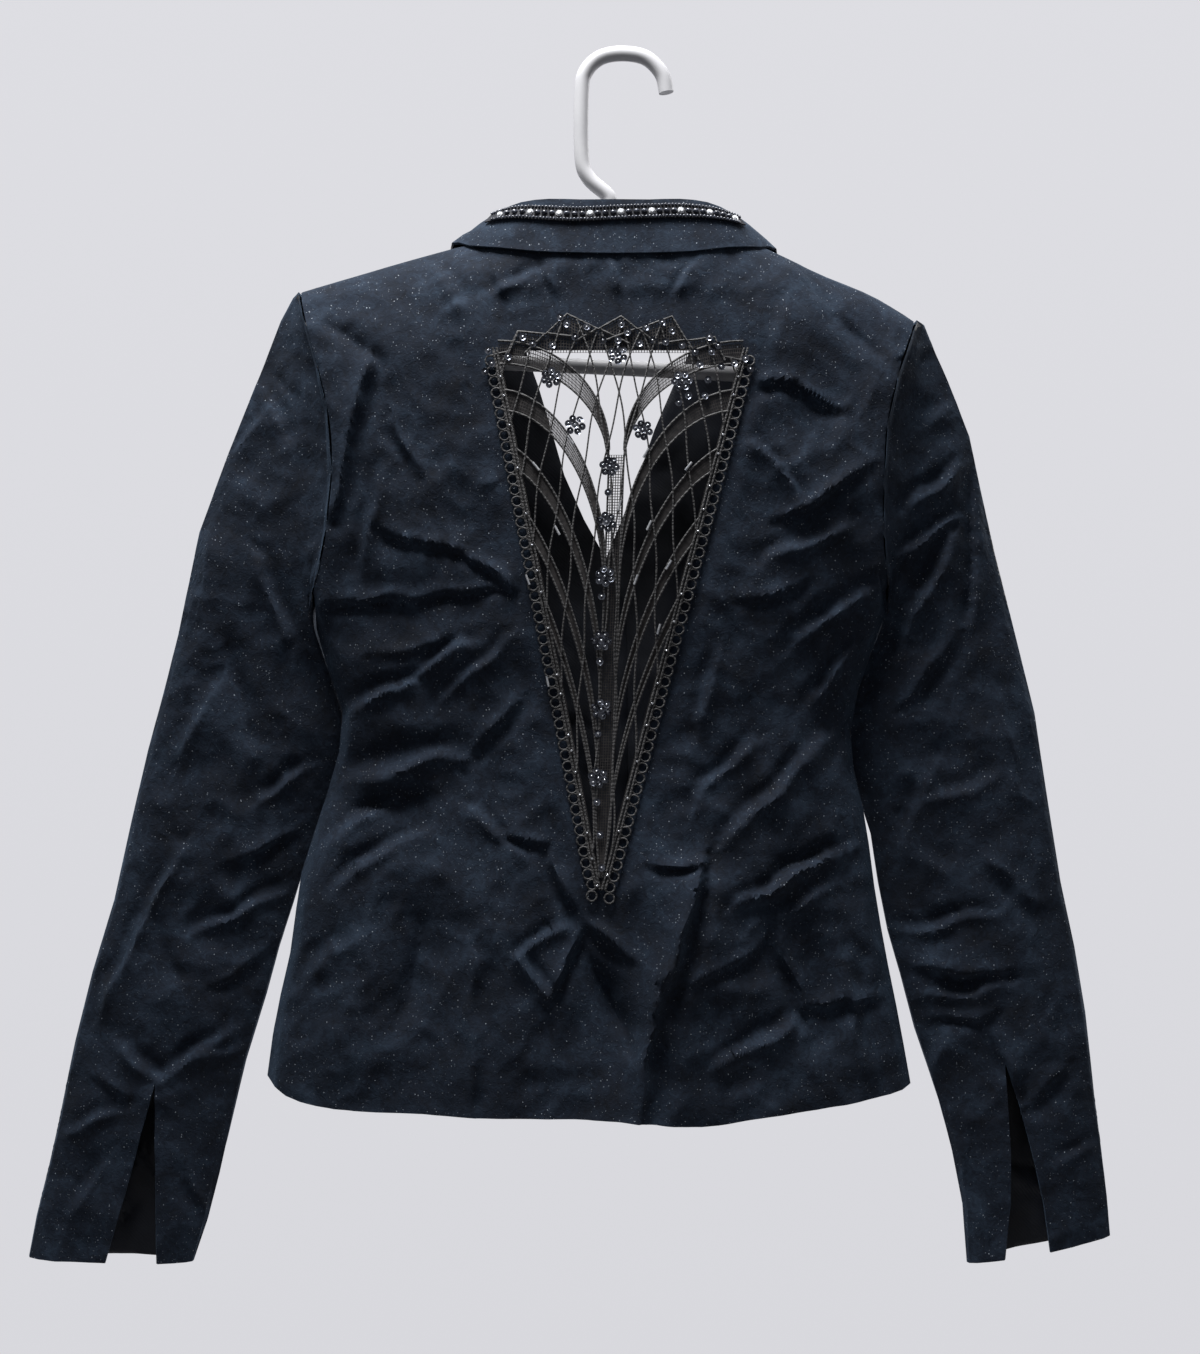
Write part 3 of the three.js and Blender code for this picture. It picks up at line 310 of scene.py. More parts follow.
# Creases as (x0, z0, x1, z1, width, height, lean): a ridge, or with a minus a trough, in
# millimetres; lean puts a shadow trough on one side of it
creases = {
    "back": [
        (-156, -194, -166, -238, 6, 3.2, 1), (-166, -238, -179, -289, 6, 3, 1),
        (-115, -140, -97, -167, 6, 2, 1), (-186, -170, -153, -190, 6, -2.2, 0),
        (-180, -347, -135, -345, 5, -2.8, 1), (-135, -345, -70, -336, 4, -2.2, 1),
        (-147, -298, -104, -310, 5, 2.4, -1), (-104, -310, -68, -334, 4, 2.4, -1),
        (-172, -408, -133, -394, 6, 2.6, 1), (-133, -394, -98, -369, 5, 2.2, 1),
        (-169, -453, -107, -439, 9, 3.2, 1), (-162, -472, -121, -465, 13, -4.5, 0),
        (-180, -492, -135, -464, 6, 2.6, 1), (-167, -509, -125, -484, 5, 2, 1),
        (-179, -522, -147, -499, 5, 1.8, 1), (-76, -485, -48, -490, 5, 2, -1),
        (-93, -472, -63, -499, 5, 1.8, 1), (-42, -504, -26, -532, 6, 2.8, -1),
        (-26, -532, 3, -560, 6, 2.6, -1), (-28, -551, -45, -585, 5, 3, 1),
        (-45, -585, -65, -560, 5, 2.6, -1), (-65, -560, -35, -541, 5, 2, 1),
        (-22, -557, 6, -616, 9, -5, 0), (50, -504, 42, -529, 6, 3.5, 1),
        (42, -529, 20, -588, 8, 5, 1), (20, -588, 11, -656, 9, 4.5, 1),
        (20, -504, 50, -504, 4, 2.6, -1), (71, -529, 141, -495, 6, 2.6, 1),
        (79, -543, 134, -517, 6, 2, 1), (90, -519, 128, -501, 5, 1.8, 1),
        (96, -543, 113, -594, 7, 3.2, -1), (113, -594, 161, -588, 5, 2.4, -1),
        (59, -627, 110, -599, 6, 2.4, 1), (67, -487, 124, -430, 7, 2.8, 1),
        (47, -465, 84, -429, 6, 2, 1), (117, -146, 162, -197, 5, -2, 0),
        (79, -208, 101, -208, 5, 2.6, -1), (101, -208, 130, -223, 5, 2.8, -1),
        (82, -247, 108, -283, 5, 2, 1), (99, -291, 147, -264, 6, 3.2, -1),
        (90, -318, 139, -293, 6, 2.2, 1), (75, -342, 108, -333, 5, 2, -1),
        (108, -367, 149, -336, 6, 2.4, 1), (118, -403, 146, -373, 6, 2.4, 1),
        (-103, -163, -84, -159, 5, 1.8, 1), (-84, -159, -52, -140, 5, 1.8, 1),
        (-35, -163, -46, -138, 4, 1.4, 1), (-2, -157, -8, -133, 4, 1.4, -1),
        (30, -163, 44, -139, 4, 1.4, 1), (55, -178, 77, -157, 4, 1.6, -1),
        (-63, -170, -80, -140, 4, 1.5, 1), (-161, -318, -146, -263, 6, 2, 1),
        (-141, -232, -124, -263, 5, 1.6, -1), (-112, -403, -72, -368, 5, 1.8, 1),
        (-153, -376, -112, -367, 5, 1.5, -1), (-100, -440, -63, -403, 6, 1.8, -1),
        (-197, -578, -166, -550, 7, 1.8, 1), (-124, -544, -138, -611, 9, -3, 0),
        (-93, -563, -90, -639, 9, 2.4, 1), (139, -563, 150, -630, 8, 2, 1),
        (47, -416, 61, -373, 6, 1.6, 1), (133, -440, 150, -403, 7, -2.5, 0),
        (41, -575, 84, -556, 6, 1.8, -1),
        # left sleeve
        (-267, -550, -210, -524, 6, 2.6, 1), (-331, -602, -305, -550, 8, 3, 1),
        (-305, -550, -281, -499, 8, 2.6, 1), (-293, -647, -319, -624, 6, 2, -1),
        (-291, -645, -247, -613, 6, 2.4, 1), (-274, -633, -234, -623, 5, 1.6, 1),
        (-356, -680, -323, -665, 5, 1.8, 1), (-258, -584, -217, -556, 6, 1.8, -1),
        (-350, -733, -328, -700, 6, 1.6, 1), (-274, -708, -261, -743, 6, 1.8, -1),
        (-250, -366, -236, -429, 8, -2.4, 0), (-228, -315, -213, -366, 7, 2.2, 1),
        (-247, -258, -228, -226, 7, 2.2, 1), (-236, -183, -204, -215, 6, -2, 0),
        (-239, -196, -214, -233, 6, 1.8, 1), (-228, -467, -199, -448, 6, 2.2, 1),
        (-245, -507, -207, -486, 6, 2, -1), (-280, -442, -258, -398, 9, 2, 1),
        (-267, -341, -258, -290, 9, 1.8, 1), (-299, -534, -283, -581, 8, -1.8, 0),
        (-340, -641, -313, -654, 5, 1.4, -1),
        # right sleeve
        (171, -326, 162, -366, 8, -3.8, 0), (162, -366, 153, -404, 8, -3.2, 0),
        (221, -258, 223, -298, 5, -3, 1), (223, -298, 221, -335, 5, -3.2, 1),
        (221, -335, 216, -354, 5, -2.4, 1), (176, -554, 230, -539, 6, 2.2, 1),
        (179, -572, 241, -577, 6, 2.4, -1), (186, -594, 240, -585, 6, 2.2, 1),
        (195, -609, 234, -602, 5, 1.8, -1), (192, -654, 207, -619, 7, 2.2, 1),
        (179, -284, 213, -258, 6, 2.6, 1), (174, -315, 211, -290, 6, 2.4, 1),
        (176, -366, 209, -306, 8, 3.2, 1), (179, -404, 208, -366, 7, 2, -1),
        (195, -226, 230, -201, 8, 2.2, 1), (180, -188, 208, -169, 7, 1.6, -1),
        (195, -467, 233, -455, 6, 1.6, 1), (176, -505, 198, -448, 8, 1.8, 1),
        (240, -404, 256, -467, 8, 1.8, 1), (253, -647, 240, -626, 6, 2, 1),
        (259, -657, 280, -638, 6, 1.8, -1), (278, -695, 298, -689, 5, 1.6, 1),
        (214, -689, 230, -740, 8, 1.8, 1), (230, -505, 265, -534, 7, 1.6, -1),
    ],
    # The fronts and the sleeves' inner sides, which the wall hides, wrinkle in the same way
    "front": [
        (-170, -352, -110, -338, 6, -2.4, 1), (-176, -430, -120, -402, 6, 2.4, 1),
        (-168, -462, -96, -470, 8, 2.6, -1), (-150, -512, -84, -490, 6, 2, 1),
        (-190, -560, -140, -600, 8, 2.2, 1), (-120, -540, -128, -640, 10, 2.6, 1),
        (-70, -560, -62, -648, 10, -2.4, 0), (-60, -402, -24, -420, 5, 1.8, 1),
        (-140, -250, -96, -292, 6, 2, 1), (-160, -200, -128, -236, 6, 1.8, -1),
        (70, -352, 140, -372, 6, 2.4, 1), (60, -430, 130, -404, 7, 2.4, -1),
        (30, -490, 120, -470, 7, 2.2, 1), (50, -540, 130, -566, 6, 2, -1),
        (60, -570, 72, -650, 10, 2.6, 1), (120, -590, 128, -648, 9, -2.2, 0),
        (90, -250, 140, -270, 6, 2, 1), (110, -190, 140, -230, 6, 1.8, 1),
        (-270, -540, -214, -556, 6, 2.4, 1), (-262, -470, -205, -452, 6, 2, -1),
        (-300, -610, -240, -596, 6, 2.2, 1), (-330, -690, -290, -720, 7, 1.6, 1),
        (-250, -300, -220, -360, 8, 2.2, 1), (-230, -220, -212, -262, 7, 1.8, -1),
        (176, -520, 232, -504, 6, 2.2, 1), (180, -572, 240, -590, 6, 2.2, -1),
        (205, -650, 250, -640, 6, 1.8, 1), (190, -420, 225, -380, 7, 2.2, 1),
        (200, -260, 214, -320, 7, 2, 1), (240, -700, 290, -716, 7, 1.6, -1),
    ],
}
seamLines = [
    [(-199, -150), (-185, -192), (-178, -242), (-184, -306), (-194, -348)],
    [(181, -168), (168, -209), (162, -240), (161, -282), (163, -317), (167, -346)],
]
sleeveMiddle = [(-765, 16), (-600, 16), (-480, 17), (-400, 15), (-330, 11), (-250, 6), (-180, 1)]
ripples = {"longMm": 52, "longHeight": 2.0, "shortMm": 19, "shortHeight": 0.8, "bendMm": 5}
fold = {"gain": 2.0, "narrow": 0.75, "shadowSide": 0.5, "trough": 0.6, "troughAt": 1.4}
seam = {
    "dip": 0.2, "dipMm": 4, "puff": 0.3, "puffAt": 9, "puffMm": 5,
    "armholeFill": 3.0, "armholeFillMm": 12,  # pads out the groove between body and sleeve
    "weldMm": 0.65, "closeMm": 0.8,  # widest gaps that are sewn up
}
cloth = {
    "sharpAngle": 0.6, "smoothRounds": 10, "settle": 0.35,
    "fadeMm": 12,  # creases fade out towards the panel's outline
    "liningMm": 0.9,  # how far the lining hangs free of the velvet
    "collarZ": -112, "collarFadeMm": 5,
    "buttonsZ": (-335, -405, -475), "buttonX": -10, "buttonFlatMm": 16,
}


def lineDistance(x, z, x0, z0, x1, z1):
    dx, dz = x1 - x0, z1 - z0
    length = math.hypot(dx, dz)
    t = np.clip(((x - x0) * dx + (z - z0) * dz) / length ** 2, 0, 1)
    px, pz = x - x0 - t * dx, z - z0 - t * dz
    side = np.sign(dx * pz - dz * px)
    return np.hypot(px, pz) * side, t


def creaseField(x, z, rows):
    # each crease is steep on the side it leans to, with a trough along its foot there
    height = np.zeros_like(x)
    for x0, z0, x1, z1, width, tall, lean in rows:
        away, t = lineDistance(x, z, x0, z0, x1, z1)
        ends = 0.3 + 0.7 * np.sin(np.pi * (0.08 + 0.84 * t))
        width = width * fold["narrow"]
        reach = np.where(away * lean > 0, fold["shadowSide"], 1.0) * width
        ridge = np.exp(-(np.abs(away) / reach) ** 1.15)
        trough = np.exp(-((away - lean * fold["troughAt"] * width) / width) ** 2)
        height += fold["gain"] * tall * ends * (ridge - fold["trough"] * abs(lean) * trough)
    return height


def seamField(x, z, lines, fill=0.0):
    # cloth dips to its sewn seams and puffs a little beside them
    height = np.zeros_like(x)
    for line in lines:
        away = np.full_like(x, 1e3)
        for a, b in zip(line, line[1:]):
            away = np.minimum(away, np.abs(lineDistance(x, z, *a, *b)[0]))
        height -= seam["dip"] * np.exp(-(away / seam["dipMm"]) ** 2)
        height += seam["puff"] * np.exp(-((away - seam["puffAt"]) / seam["puffMm"]) ** 2)
        height += fill * np.exp(-(away / seam["armholeFillMm"]) ** 2)
    return height


def rippleField(x, z, seed):
    long, short = ripples["longMm"], ripples["shortMm"]
    out = np.zeros_like(x)
    for i, (px, pz) in enumerate(zip(x, z)):
        a = noise.noise(Vector((px / long, pz / long, seed)))
        b = noise.noise(Vector((px / short + 0.5 * a, pz / short, seed + 5)))
        out[i] = (ripples["longHeight"] * (1 - 2.6 * abs(a))
                  + ripples["shortHeight"] * (1 - 2.6 * abs(b)))
    return out


def bend(x, z, seed):
    # wanders the listed lines a little, so that none is ruled straight
    dx, dz = np.zeros_like(x), np.zeros_like(x)
    for i, (px, pz) in enumerate(zip(x, z)):
        dx[i] = noise.noise(Vector((px / 26, pz / 26, seed)))
        dz[i] = noise.noise(Vector((px / 26, pz / 26, seed + 9)))
    return x + ripples["bendMm"] * dx, z + ripples["bendMm"] * dz


def weldSeams(bm):
    # sews two parts of a sleeve: points that face each other across a seam become one
    found = bmesh.ops.find_doubles(bm, verts=bm.verts, dist=seam["weldMm"] * mm)["targetmap"]
    sewn = set(found.values())
    bmesh.ops.weld_verts(bm, targetmap=found)
    bm.normal_update()
    walls = [f for f in bm.faces if abs(f.normal.y) < 0.6 and all(v in sewn for v in f.verts)]
    bmesh.ops.delete(bm, geom=walls, context="FACES")
    return [v.co * 1000 for v in sewn if v.is_valid]


def closeArmholes(bm):
    # brings both edges of each armhole seam onto one line
    for side, edge in enumerate(("left", "right")):
        for v in bm.verts:
            x, z = v.co.x * 1000, v.co.z * 1000
            line = curveAt(body[edge], z)
            if z > body["underarm"][side] and abs(x - line) < seam["closeMm"]:
                v.co.x = line * mm


def seamPolyline(points, back):
    # the sewn line of one face of a sleeve, from the cuff up, as (x, z)
    side = [p for p in points if (p.y < curveAt(sleeveMiddle, p.z)) == back]
    return [(p.x, p.z) for p in sorted(side, key=lambda p: p.z)][::2]


def clothPiece(name, sources, longest, amount):
    # a copy of CAD cloth shells with closer points, creases and their two finishes
    bm = bmesh.new()
    sewn = []
    for source in sources:
        bm.from_mesh(nodes[source].data)
        bmesh.ops.remove_doubles(bm, verts=bm.verts, dist=1e-6)
        if source != sources[0]:
            sewn = weldSeams(bm)
    print(name, "points sewn", len(sewn))
    for e in bm.edges:
        e.smooth = e.calc_face_angle(9) < cloth["sharpAngle"]
    for _ in range(9):
        far = [e for e in bm.edges if e.calc_length() > longest * mm]
        if not far:
            break
        bmesh.ops.subdivide_edges(bm, edges=far, cuts=1)
        bmesh.ops.triangulate(bm, faces=[f for f in bm.faces if len(f.verts) > 3])
    closeArmholes(bm)
    bm.normal_update()
    soft = [v for v in bm.verts if all(e.smooth for e in v.link_edges)]
    for _ in range(cloth["smoothRounds"]):
        bmesh.ops.smooth_vert(bm, verts=soft, factor=0.5, use_axis_x=False, use_axis_y=True,
                              use_axis_z=False)
    place = np.array([v.co for v in bm.verts]) * 1000
    x, y, z = place[:, 0], place[:, 1], place[:, 2]
    arm = name.startswith("sleeve")
    middle = np.array([curveAt(sleeveMiddle, at) for at in z]) if arm else np.zeros_like(z)
    out = middle - y
    mask = np.array([laceMask(a, b) for a, b in zip(x, z)])
    # flat under the collar and round the buttons
    calm = 1 / (1 + np.exp(-(cloth["collarZ"] - z) / cloth["collarFadeMm"]))
    for button in cloth["buttonsZ"]:
        near = ((x - cloth["buttonX"]) ** 2 + (z - button) ** 2) / cloth["buttonFlatMm"] ** 2
        calm *= np.where(y > 0, 1 - np.exp(-near), 1)
    lift = np.zeros_like(x)
    for face, sign, seed in (("back", 1, 2.0), ("front", -1, 7.0)):
        weight = np.clip(out * sign / cloth["fadeMm"], 0, 1)
        if weight.max() == 0:
            continue
        bx, bz = bend(x, z, seed)
        field = creaseField(bx, bz, creases[face]) + rippleField(x, z, seed)
        field = amount * field + seamField(x, z, seamLines, seam["armholeFill"])
        if sewn:
            field += seamField(x, z, [seamPolyline(sewn, face == "back")])
        lift += sign * weight * field * (mask if face == "back" else 1)
    lift *= calm
    for v, up in zip(bm.verts, lift):
        v.co.y -= up * mm
    bmesh.ops.smooth_vert(bm, verts=soft, factor=cloth["settle"], use_axis_x=True, use_axis_y=True,
                          use_axis_z=True)
    bm.normal_update()
    for f in bm.faces:
        f.smooth = True
        c = f.calc_center_median() * 1000
        half = (curveAt(sleeveMiddle, c.z) if arm else 0) - c.y
        inside = f.normal.y > 0.25 if half > 0 else f.normal.y < -0.25
        f.material_index = 1 if inside else 0
    # the lining hangs a little free of the velvet, so that no crease brings it through
    for v in bm.verts:
        if all(f.material_index for f in v.link_faces):
            half = (curveAt(sleeveMiddle, v.co.z * 1000) if arm else 0) - v.co.y * 1000
            v.co.y += math.copysign(cloth["liningMm"], half) * mm
    for e in bm.edges:
        e.smooth = e.calc_face_angle(0) < 0.9
    mesh = bpy.data.meshes.new(name + "_cloth")
    bm.to_mesh(mesh)
    bm.free()
    piece = bpy.data.objects.new(name + "_cloth", mesh)
    bpy.context.scene.collection.objects.link(piece)
    mesh.materials.append(materials["velvet"])
    mesh.materials.append(materials["lining"])
    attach(piece, "root")
    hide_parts(*sources)
    print(name, len(mesh.polygons))
    return piece


# longest edge in mm, crease amount, and each panel's cut: width, length and area in metres
clothPlan = {
    "back": (3.7, 1.0, (0.45, 0.58, 0.18)),
    "front_left": (5.0, 1.0, (0.24, 0.57, 0.0966)),
    "front_right": (5.0, 1.0, (0.23, 0.57, 0.091)),
    "lapel_left": (6.0, 0.6, (0.06, 0.15, 0.0048)),
    "lapel_right": (6.0, 0.6, (0.06, 0.15, 0.0048)),
    "sleeve_left": (3.4, 1.0, (0.30, 0.64, 0.125)),
    "sleeve_right": (3.4, 1.0, (0.29, 0.62, 0.115)),
    "collar": (3.5, 0.0, (0.36, 0.055, 0.0135)),
}
for name, (longest, amount, cut) in clothPlan.items():
    sources = [name]
    if name.startswith("sleeve"):
        upper = name.replace("_", "_upper_")
        sources = [upper, upper + "_fore", name.replace("_", "_under_")]
    clothPiece(name, sources, longest, amount)
print("cloth made")


def finishPiece(bm, name, material, smooth=True):
    for f in bm.faces:
        f.smooth = smooth
    mesh = bpy.data.meshes.new(name)
    bm.to_mesh(mesh)
    bm.free()
    mesh.materials.append(materials[material])
    piece = bpy.data.objects.new(name, mesh)
    bpy.context.scene.collection.objects.link(piece)
    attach(piece, "root")
    print(name, len(mesh.polygons))
    return piece


def tubeMesh(paths, radius, sides=6, closed=False):
    # round cords along paths of points, as one mesh
    line = bpy.data.curves.new("line", "CURVE")
    line.dimensions = "3D"
    line.bevel_depth = radius * mm
    line.bevel_resolution = max(0, sides // 4)
    line.use_fill_caps = True
    for path in paths:
        spline = line.splines.new("POLY")
        spline.points.add(len(path) - 1)
        for point, co in zip(spline.points, path):
            point.co = (*co, 1)
        spline.use_cyclic_u = closed
    holder = bpy.data.objects.new("line", line)
    mesh = bpy.data.meshes.new_from_object(holder)
    bpy.data.objects.remove(holder)
    bpy.data.curves.remove(line)
    return mesh


def turned(normal, spin=0.0):
    # a turn that points a shape's own Z along normal
    return normal.to_track_quat("Z", "Y").to_matrix().to_4x4() @ Matrix.Rotation(spin, 4, "Z")


def outward(x, z):
    a = onBack(x + 2, z, 0) - onBack(x - 2, z, 0)
    b = onBack(x, z + 2, 0) - onBack(x, z - 2, 0)
    return a.cross(b).normalized()


# Guipure lace wedge: bars, cords, square net and picot rings
lace = {
    "bars": [(-184, -198, -251, -262, 0), (-214, -227, -321, -338, 0.08),
             (-250, -264, -391, -405, 0.25), (-292, -308, -440, -452, 0.42),
             (-342, -360, -478, -490, 0.55)],
    "top": [(-83, -193), (-70, -190), (-64, -177.5), (-47, -179.5), (-34, -167), (-15, -176.5),
            (-1, -168.5), (9, -176.5), (30, -168.5), (39, -183.5), (56, -181), (61, -193),
            (78, -196)],
    "centreBar": 4.5, "windowTop": -191.5,
    "first": -27, "pitch": 12.4, "count": 9, "topZ": -170, "lean": 34, "leanFall": 85,
    "cordRadius": 0.7, "thinRadius": 0.55, "netCell": 1.7, "netThread": 0.26, "lift": 1.2,
    "ringRadius": 3.1, "ringPitch": 6.6, "ringThread": 0.55,
}


def laceArc(startZ, endZ, steep, t, sign):
    startX = wedgeMiddle(startZ) + sign * wedgeHalf(min(wedge["topZ"], startZ))
    endX = wedgeMiddle(endZ) + sign * min(lace["centreBar"], wedgeHalf(endZ) * 0.5)
    angle = t * math.pi / 2
    fall = (1 - steep) * (1 - math.cos(angle)) + steep * math.sin(angle)
    return mix(startX, endX, math.sin(angle)), mix(startZ, endZ, fall)


def topAt(x):
    # the zigzag's height at x
    rows = lace["top"]
    if x <= rows[0][0] or x >= rows[-1][0]:
        return -196
    i = next(k for k, row in enumerate(rows) if row[0] > x) - 1
    (xa, za), (xb, zb) = rows[i], rows[i + 1]
    return mix(za, zb, (x - xa) / (xb - xa))


def laceCords(bm):
    paths, thin = [], []
    lift = lace["lift"] + 0.6
    for sign in (-1, 1):
        for startUp, startLow, endUp, endLow, steep in lace["bars"]:
            for startZ, endZ in ((startUp, endUp), (startLow, endLow)):
                arc = [laceArc(startZ, endZ, steep, k / 26, sign) for k in range(27)]
                paths.append([onBack(x, z, lift) for x, z in arc])
        for out in (0.4, 2.6):
            edge = []
            for k in range(70):
                z = mix(-188, wedge["tipZ"] + 2, k / 69)
                edge.append(onBack(wedgeMiddle(z) + sign * (wedgeHalf(z) + out), z, lift))
            paths.append(edge)
        middle = []
        for k in range(60):
            z = mix(-254, -512, k / 59)
            half = min(lace["centreBar"], wedgeHalf(z) * 0.5)
            middle.append(onBack(wedgeMiddle(z) + sign * half, z, lift))
        paths.append(middle)
        for index in range(lace["count"]):
            line = []
            z = lace["topZ"] + 3
            while z > wedge["tipZ"] + 8:
                out = lace["first"] + lace["pitch"] * index + lace["lean"] * (
                    1 - math.exp((z - lace["topZ"]) / lace["leanFall"]))
                x = wedgeMiddle(z) + sign * (out + 0.9 * math.sin(z / 11 + index * 2.1 + sign))
                if z < topAt(x) - 1 and abs(x - wedgeMiddle(z)) < wedgeHalf(z) + 0.6:
                    line.append(onBack(x, z, lift + 0.5 + 0.3 * math.sin(z / 8 + index)))
                z -= 4
            if len(line) > 2:
                thin.append(line)
    zigzag = []
    for (xa, za), (xb, zb) in zip(lace["top"], lace["top"][1:]):
        for k in range(5):
            zigzag.append(onBack(mix(xa, xb, k / 5), mix(za, zb, k / 5) - 0.6, lift))
    paths.append(zigzag)
    for (xa, za), (xb, zb) in zip(lace["top"][1:], lace["top"][2:-1]):
        high, low = ((xa, za), (xb, zb)) if za > zb else ((xb, zb), (xa, za))
        step = ((low[0] - high[0]) / 12, (low[1] - high[1]) / 12)
        reach = [(high[0] + step[0] * k, high[1] + step[1] * k) for k in range(12, 25)]
        inner = [(x, z) for x, z in reach if z > -197 and z < topAt(x) - 0.5]
        if len(inner) > 2:
            paths.append([onBack(x, z, lift + 0.4) for x, z in inner])
    bm.from_mesh(tubeMesh(paths, lace["cordRadius"]))
    bm.from_mesh(tubeMesh(thin, lace["thinRadius"]))


def netStrip(bm, rows):
    # square net: a grid with its points moved to rows of places, then every cell wide enough
    # opened
    across, down = len(rows[0]) - 1, len(rows) - 1
    made = bmesh.ops.create_grid(bm, x_segments=across, y_segments=down, size=1)["verts"]
    for v in made:
        row, column = round((v.co.y + 1) / 2 * down), round((v.co.x + 1) / 2 * across)
        v.co = onBack(*rows[row][column], lace["lift"])
    thread = lace["netThread"] * mm
    cells = dict.fromkeys(f for v in made for f in v.link_faces)
    wide = [f for f in cells if min(e.calc_length() for e in f.edges) > 2.4 * thread]
    for f in wide:
        f.normal_update()
    bmesh.ops.inset_individual(bm, faces=wide, thickness=1.3 * thread, use_even_offset=False)
    bmesh.ops.delete(bm, geom=wide, context="FACES")


def laceNet(bm):
    cell = lace["netCell"]
    for sign in (-1, 1):
        for startUp, startLow, endUp, endLow, steep in lace["bars"]:
            count = 92
            rows = []
            for k in range(count + 1):
                t = k / count
                xa, za = laceArc(startUp, endUp, steep, t, sign)
                xb, zb = laceArc(startLow, endLow, steep, t, sign)
                rows.append([(mix(xa, xb, j / 6), mix(za, zb, j / 6)) for j in range(7)])
            netStrip(bm, rows)
    rows = []
    z = -254.0
    while z > -514:
        half = min(lace["centreBar"], wedgeHalf(z) * 0.5)
        rows.append([(wedgeMiddle(z) + half * (j / 3 - 1), z) for j in range(7)])
        z -= cell
    netStrip(bm, rows)
    for sign in (-1, 1):
        rows = []
        z = -190.0
        while z > wedge["tipZ"] + 1:
            edge = wedgeHalf(z)
            rows.append([(wedgeMiddle(z) + sign * (edge + mix(-1.0, 3.0, j / 3)), z)
                         for j in range(4)])
            z -= cell
        netStrip(bm, rows)
    x = -82.0
    columns = []
    while x < 77:
        arc = [laceArc(-184, -251, 0, k / 60, -1 if x < wedgeMiddle(-200) else 1)
               for k in range(61)]
        low = min(arc, key=lambda p: abs(p[0] - x))[1]
        low = max(low, lace["windowTop"]) if abs(x + 1.5) < 60 else low
        columns.append((x, topAt(x) - 0.8, low))
        x += cell
    for (xa, topA, lowA), (xb, topB, lowB) in zip(columns, columns[1:]):
        top, low = min(topA, topB), max(lowA, lowB)
        count = int((top - low) / cell)
        if count < 1:
            continue
        rows = [[(xa, mix(topA, lowA, k / count)), (xb, mix(topB, lowB, k / count))]
                for k in range(count + 1)]
        netStrip(bm, rows)


def picotRings(bm):
    ring = bpy.data.meshes.new("ring")
    shape = bmesh.new()
    circle = bmesh.ops.create_circle(shape, segments=5, radius=lace["ringThread"] * mm)
    bmesh.ops.rotate(shape, verts=circle["verts"], matrix=Matrix.Rotation(math.pi / 2, 3, "X"))
    bmesh.ops.translate(shape, verts=circle["verts"], vec=(lace["ringRadius"] * mm, 0, 0))
    bmesh.ops.spin(shape, geom=shape.edges[:] + shape.verts[:], cent=(0, 0, 0), axis=(0, 0, 1),
                   angle=math.tau, steps=12, use_merge=True)
    bmesh.ops.recalc_face_normals(shape, faces=shape.faces)
    shape.to_mesh(ring)
    shape.free()
    chance = random.Random(4)
    for sign in (-1, 1):
        z = -196.0
        while z > wedge["tipZ"] - 4:
            out = max(1.6, wedgeHalf(z)) + 5.6
            x = wedgeMiddle(z) + sign * out * (1 if z > wedge["tipZ"] + 8 else 0.75)
            start = len(bm.verts)
            bm.from_mesh(ring)
            bm.verts.ensure_lookup_table()
            turn = turned(outward(x, z), chance.uniform(0, 6))
            bmesh.ops.transform(bm, verts=bm.verts[start:], matrix=(
                Matrix.Translation(onBack(x, z, lace["lift"] + 0.3)) @ turn
                @ Matrix.Rotation(chance.uniform(-0.12, 0.12), 4, "X")))
            z -= lace["ringPitch"] + chance.uniform(-0.4, 0.4)


def makeLace():
    bm = bmesh.new()
    laceNet(bm)
    for f in bm.faces:
        f.material_index = 1
    laceCords(bm)
    picotRings(bm)
    piece = finishPiece(bm, "lace_guipure", "thread")
    piece.data.materials.append(materials["net"])
    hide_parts("lace_inset")
    return piece


makeLace()
print("lace made")

# Cup sequins and bugle beads on the lace
sparkle = {
    "radius": 2.3, "hole": 0.5, "flowerRadius": 4.2, "petals": 6,
    "flowers": [(-3, -193), (-8, -261), (-10, -295), (-11, -328), (-13, -367), (-13, -409),
                (-15, -451), (-44, -207), (-29, -236), (36, -209), (12, -239)],
    "single": [(-34, -174), (-1, -174), (30, -178), (-43, -187), (36, -187), (58, -187),
               (-61, -182), (-38, -170), (-29, -182), (3, -179), (-3, -184), (14, -176),
               (18, -184), (24, -173), (53, -182), (54, -191), (-82, -190), (-80, -198),
               (75, -195), (47, -199), (50, -218), (-70, -194), (-22, -176), (26, -185),
               (44, -191), (60, -200), (68, -198), (-55, -186), (10, -186), (-12, -184),
               (40, -218), (52, -208), (34, -222), (-9, -277), (-13, -340), (-14, -380),
               (-15, -424), (-16, -466), (-14, -486), (-13, -506), (78, -201), (-84, -203)],
    "bugles": [(-53, -261, 50), (40, -261, -52), (16, -297, -66), (28, -321, -58),
               (-32, -245, 55), (14, -253, -60), (-2, -285, -75), (-58, -330, 70),
               (-40, -300, 62), (22, -360, -74), (-46, -392, 78), (8, -330, -70)],
}


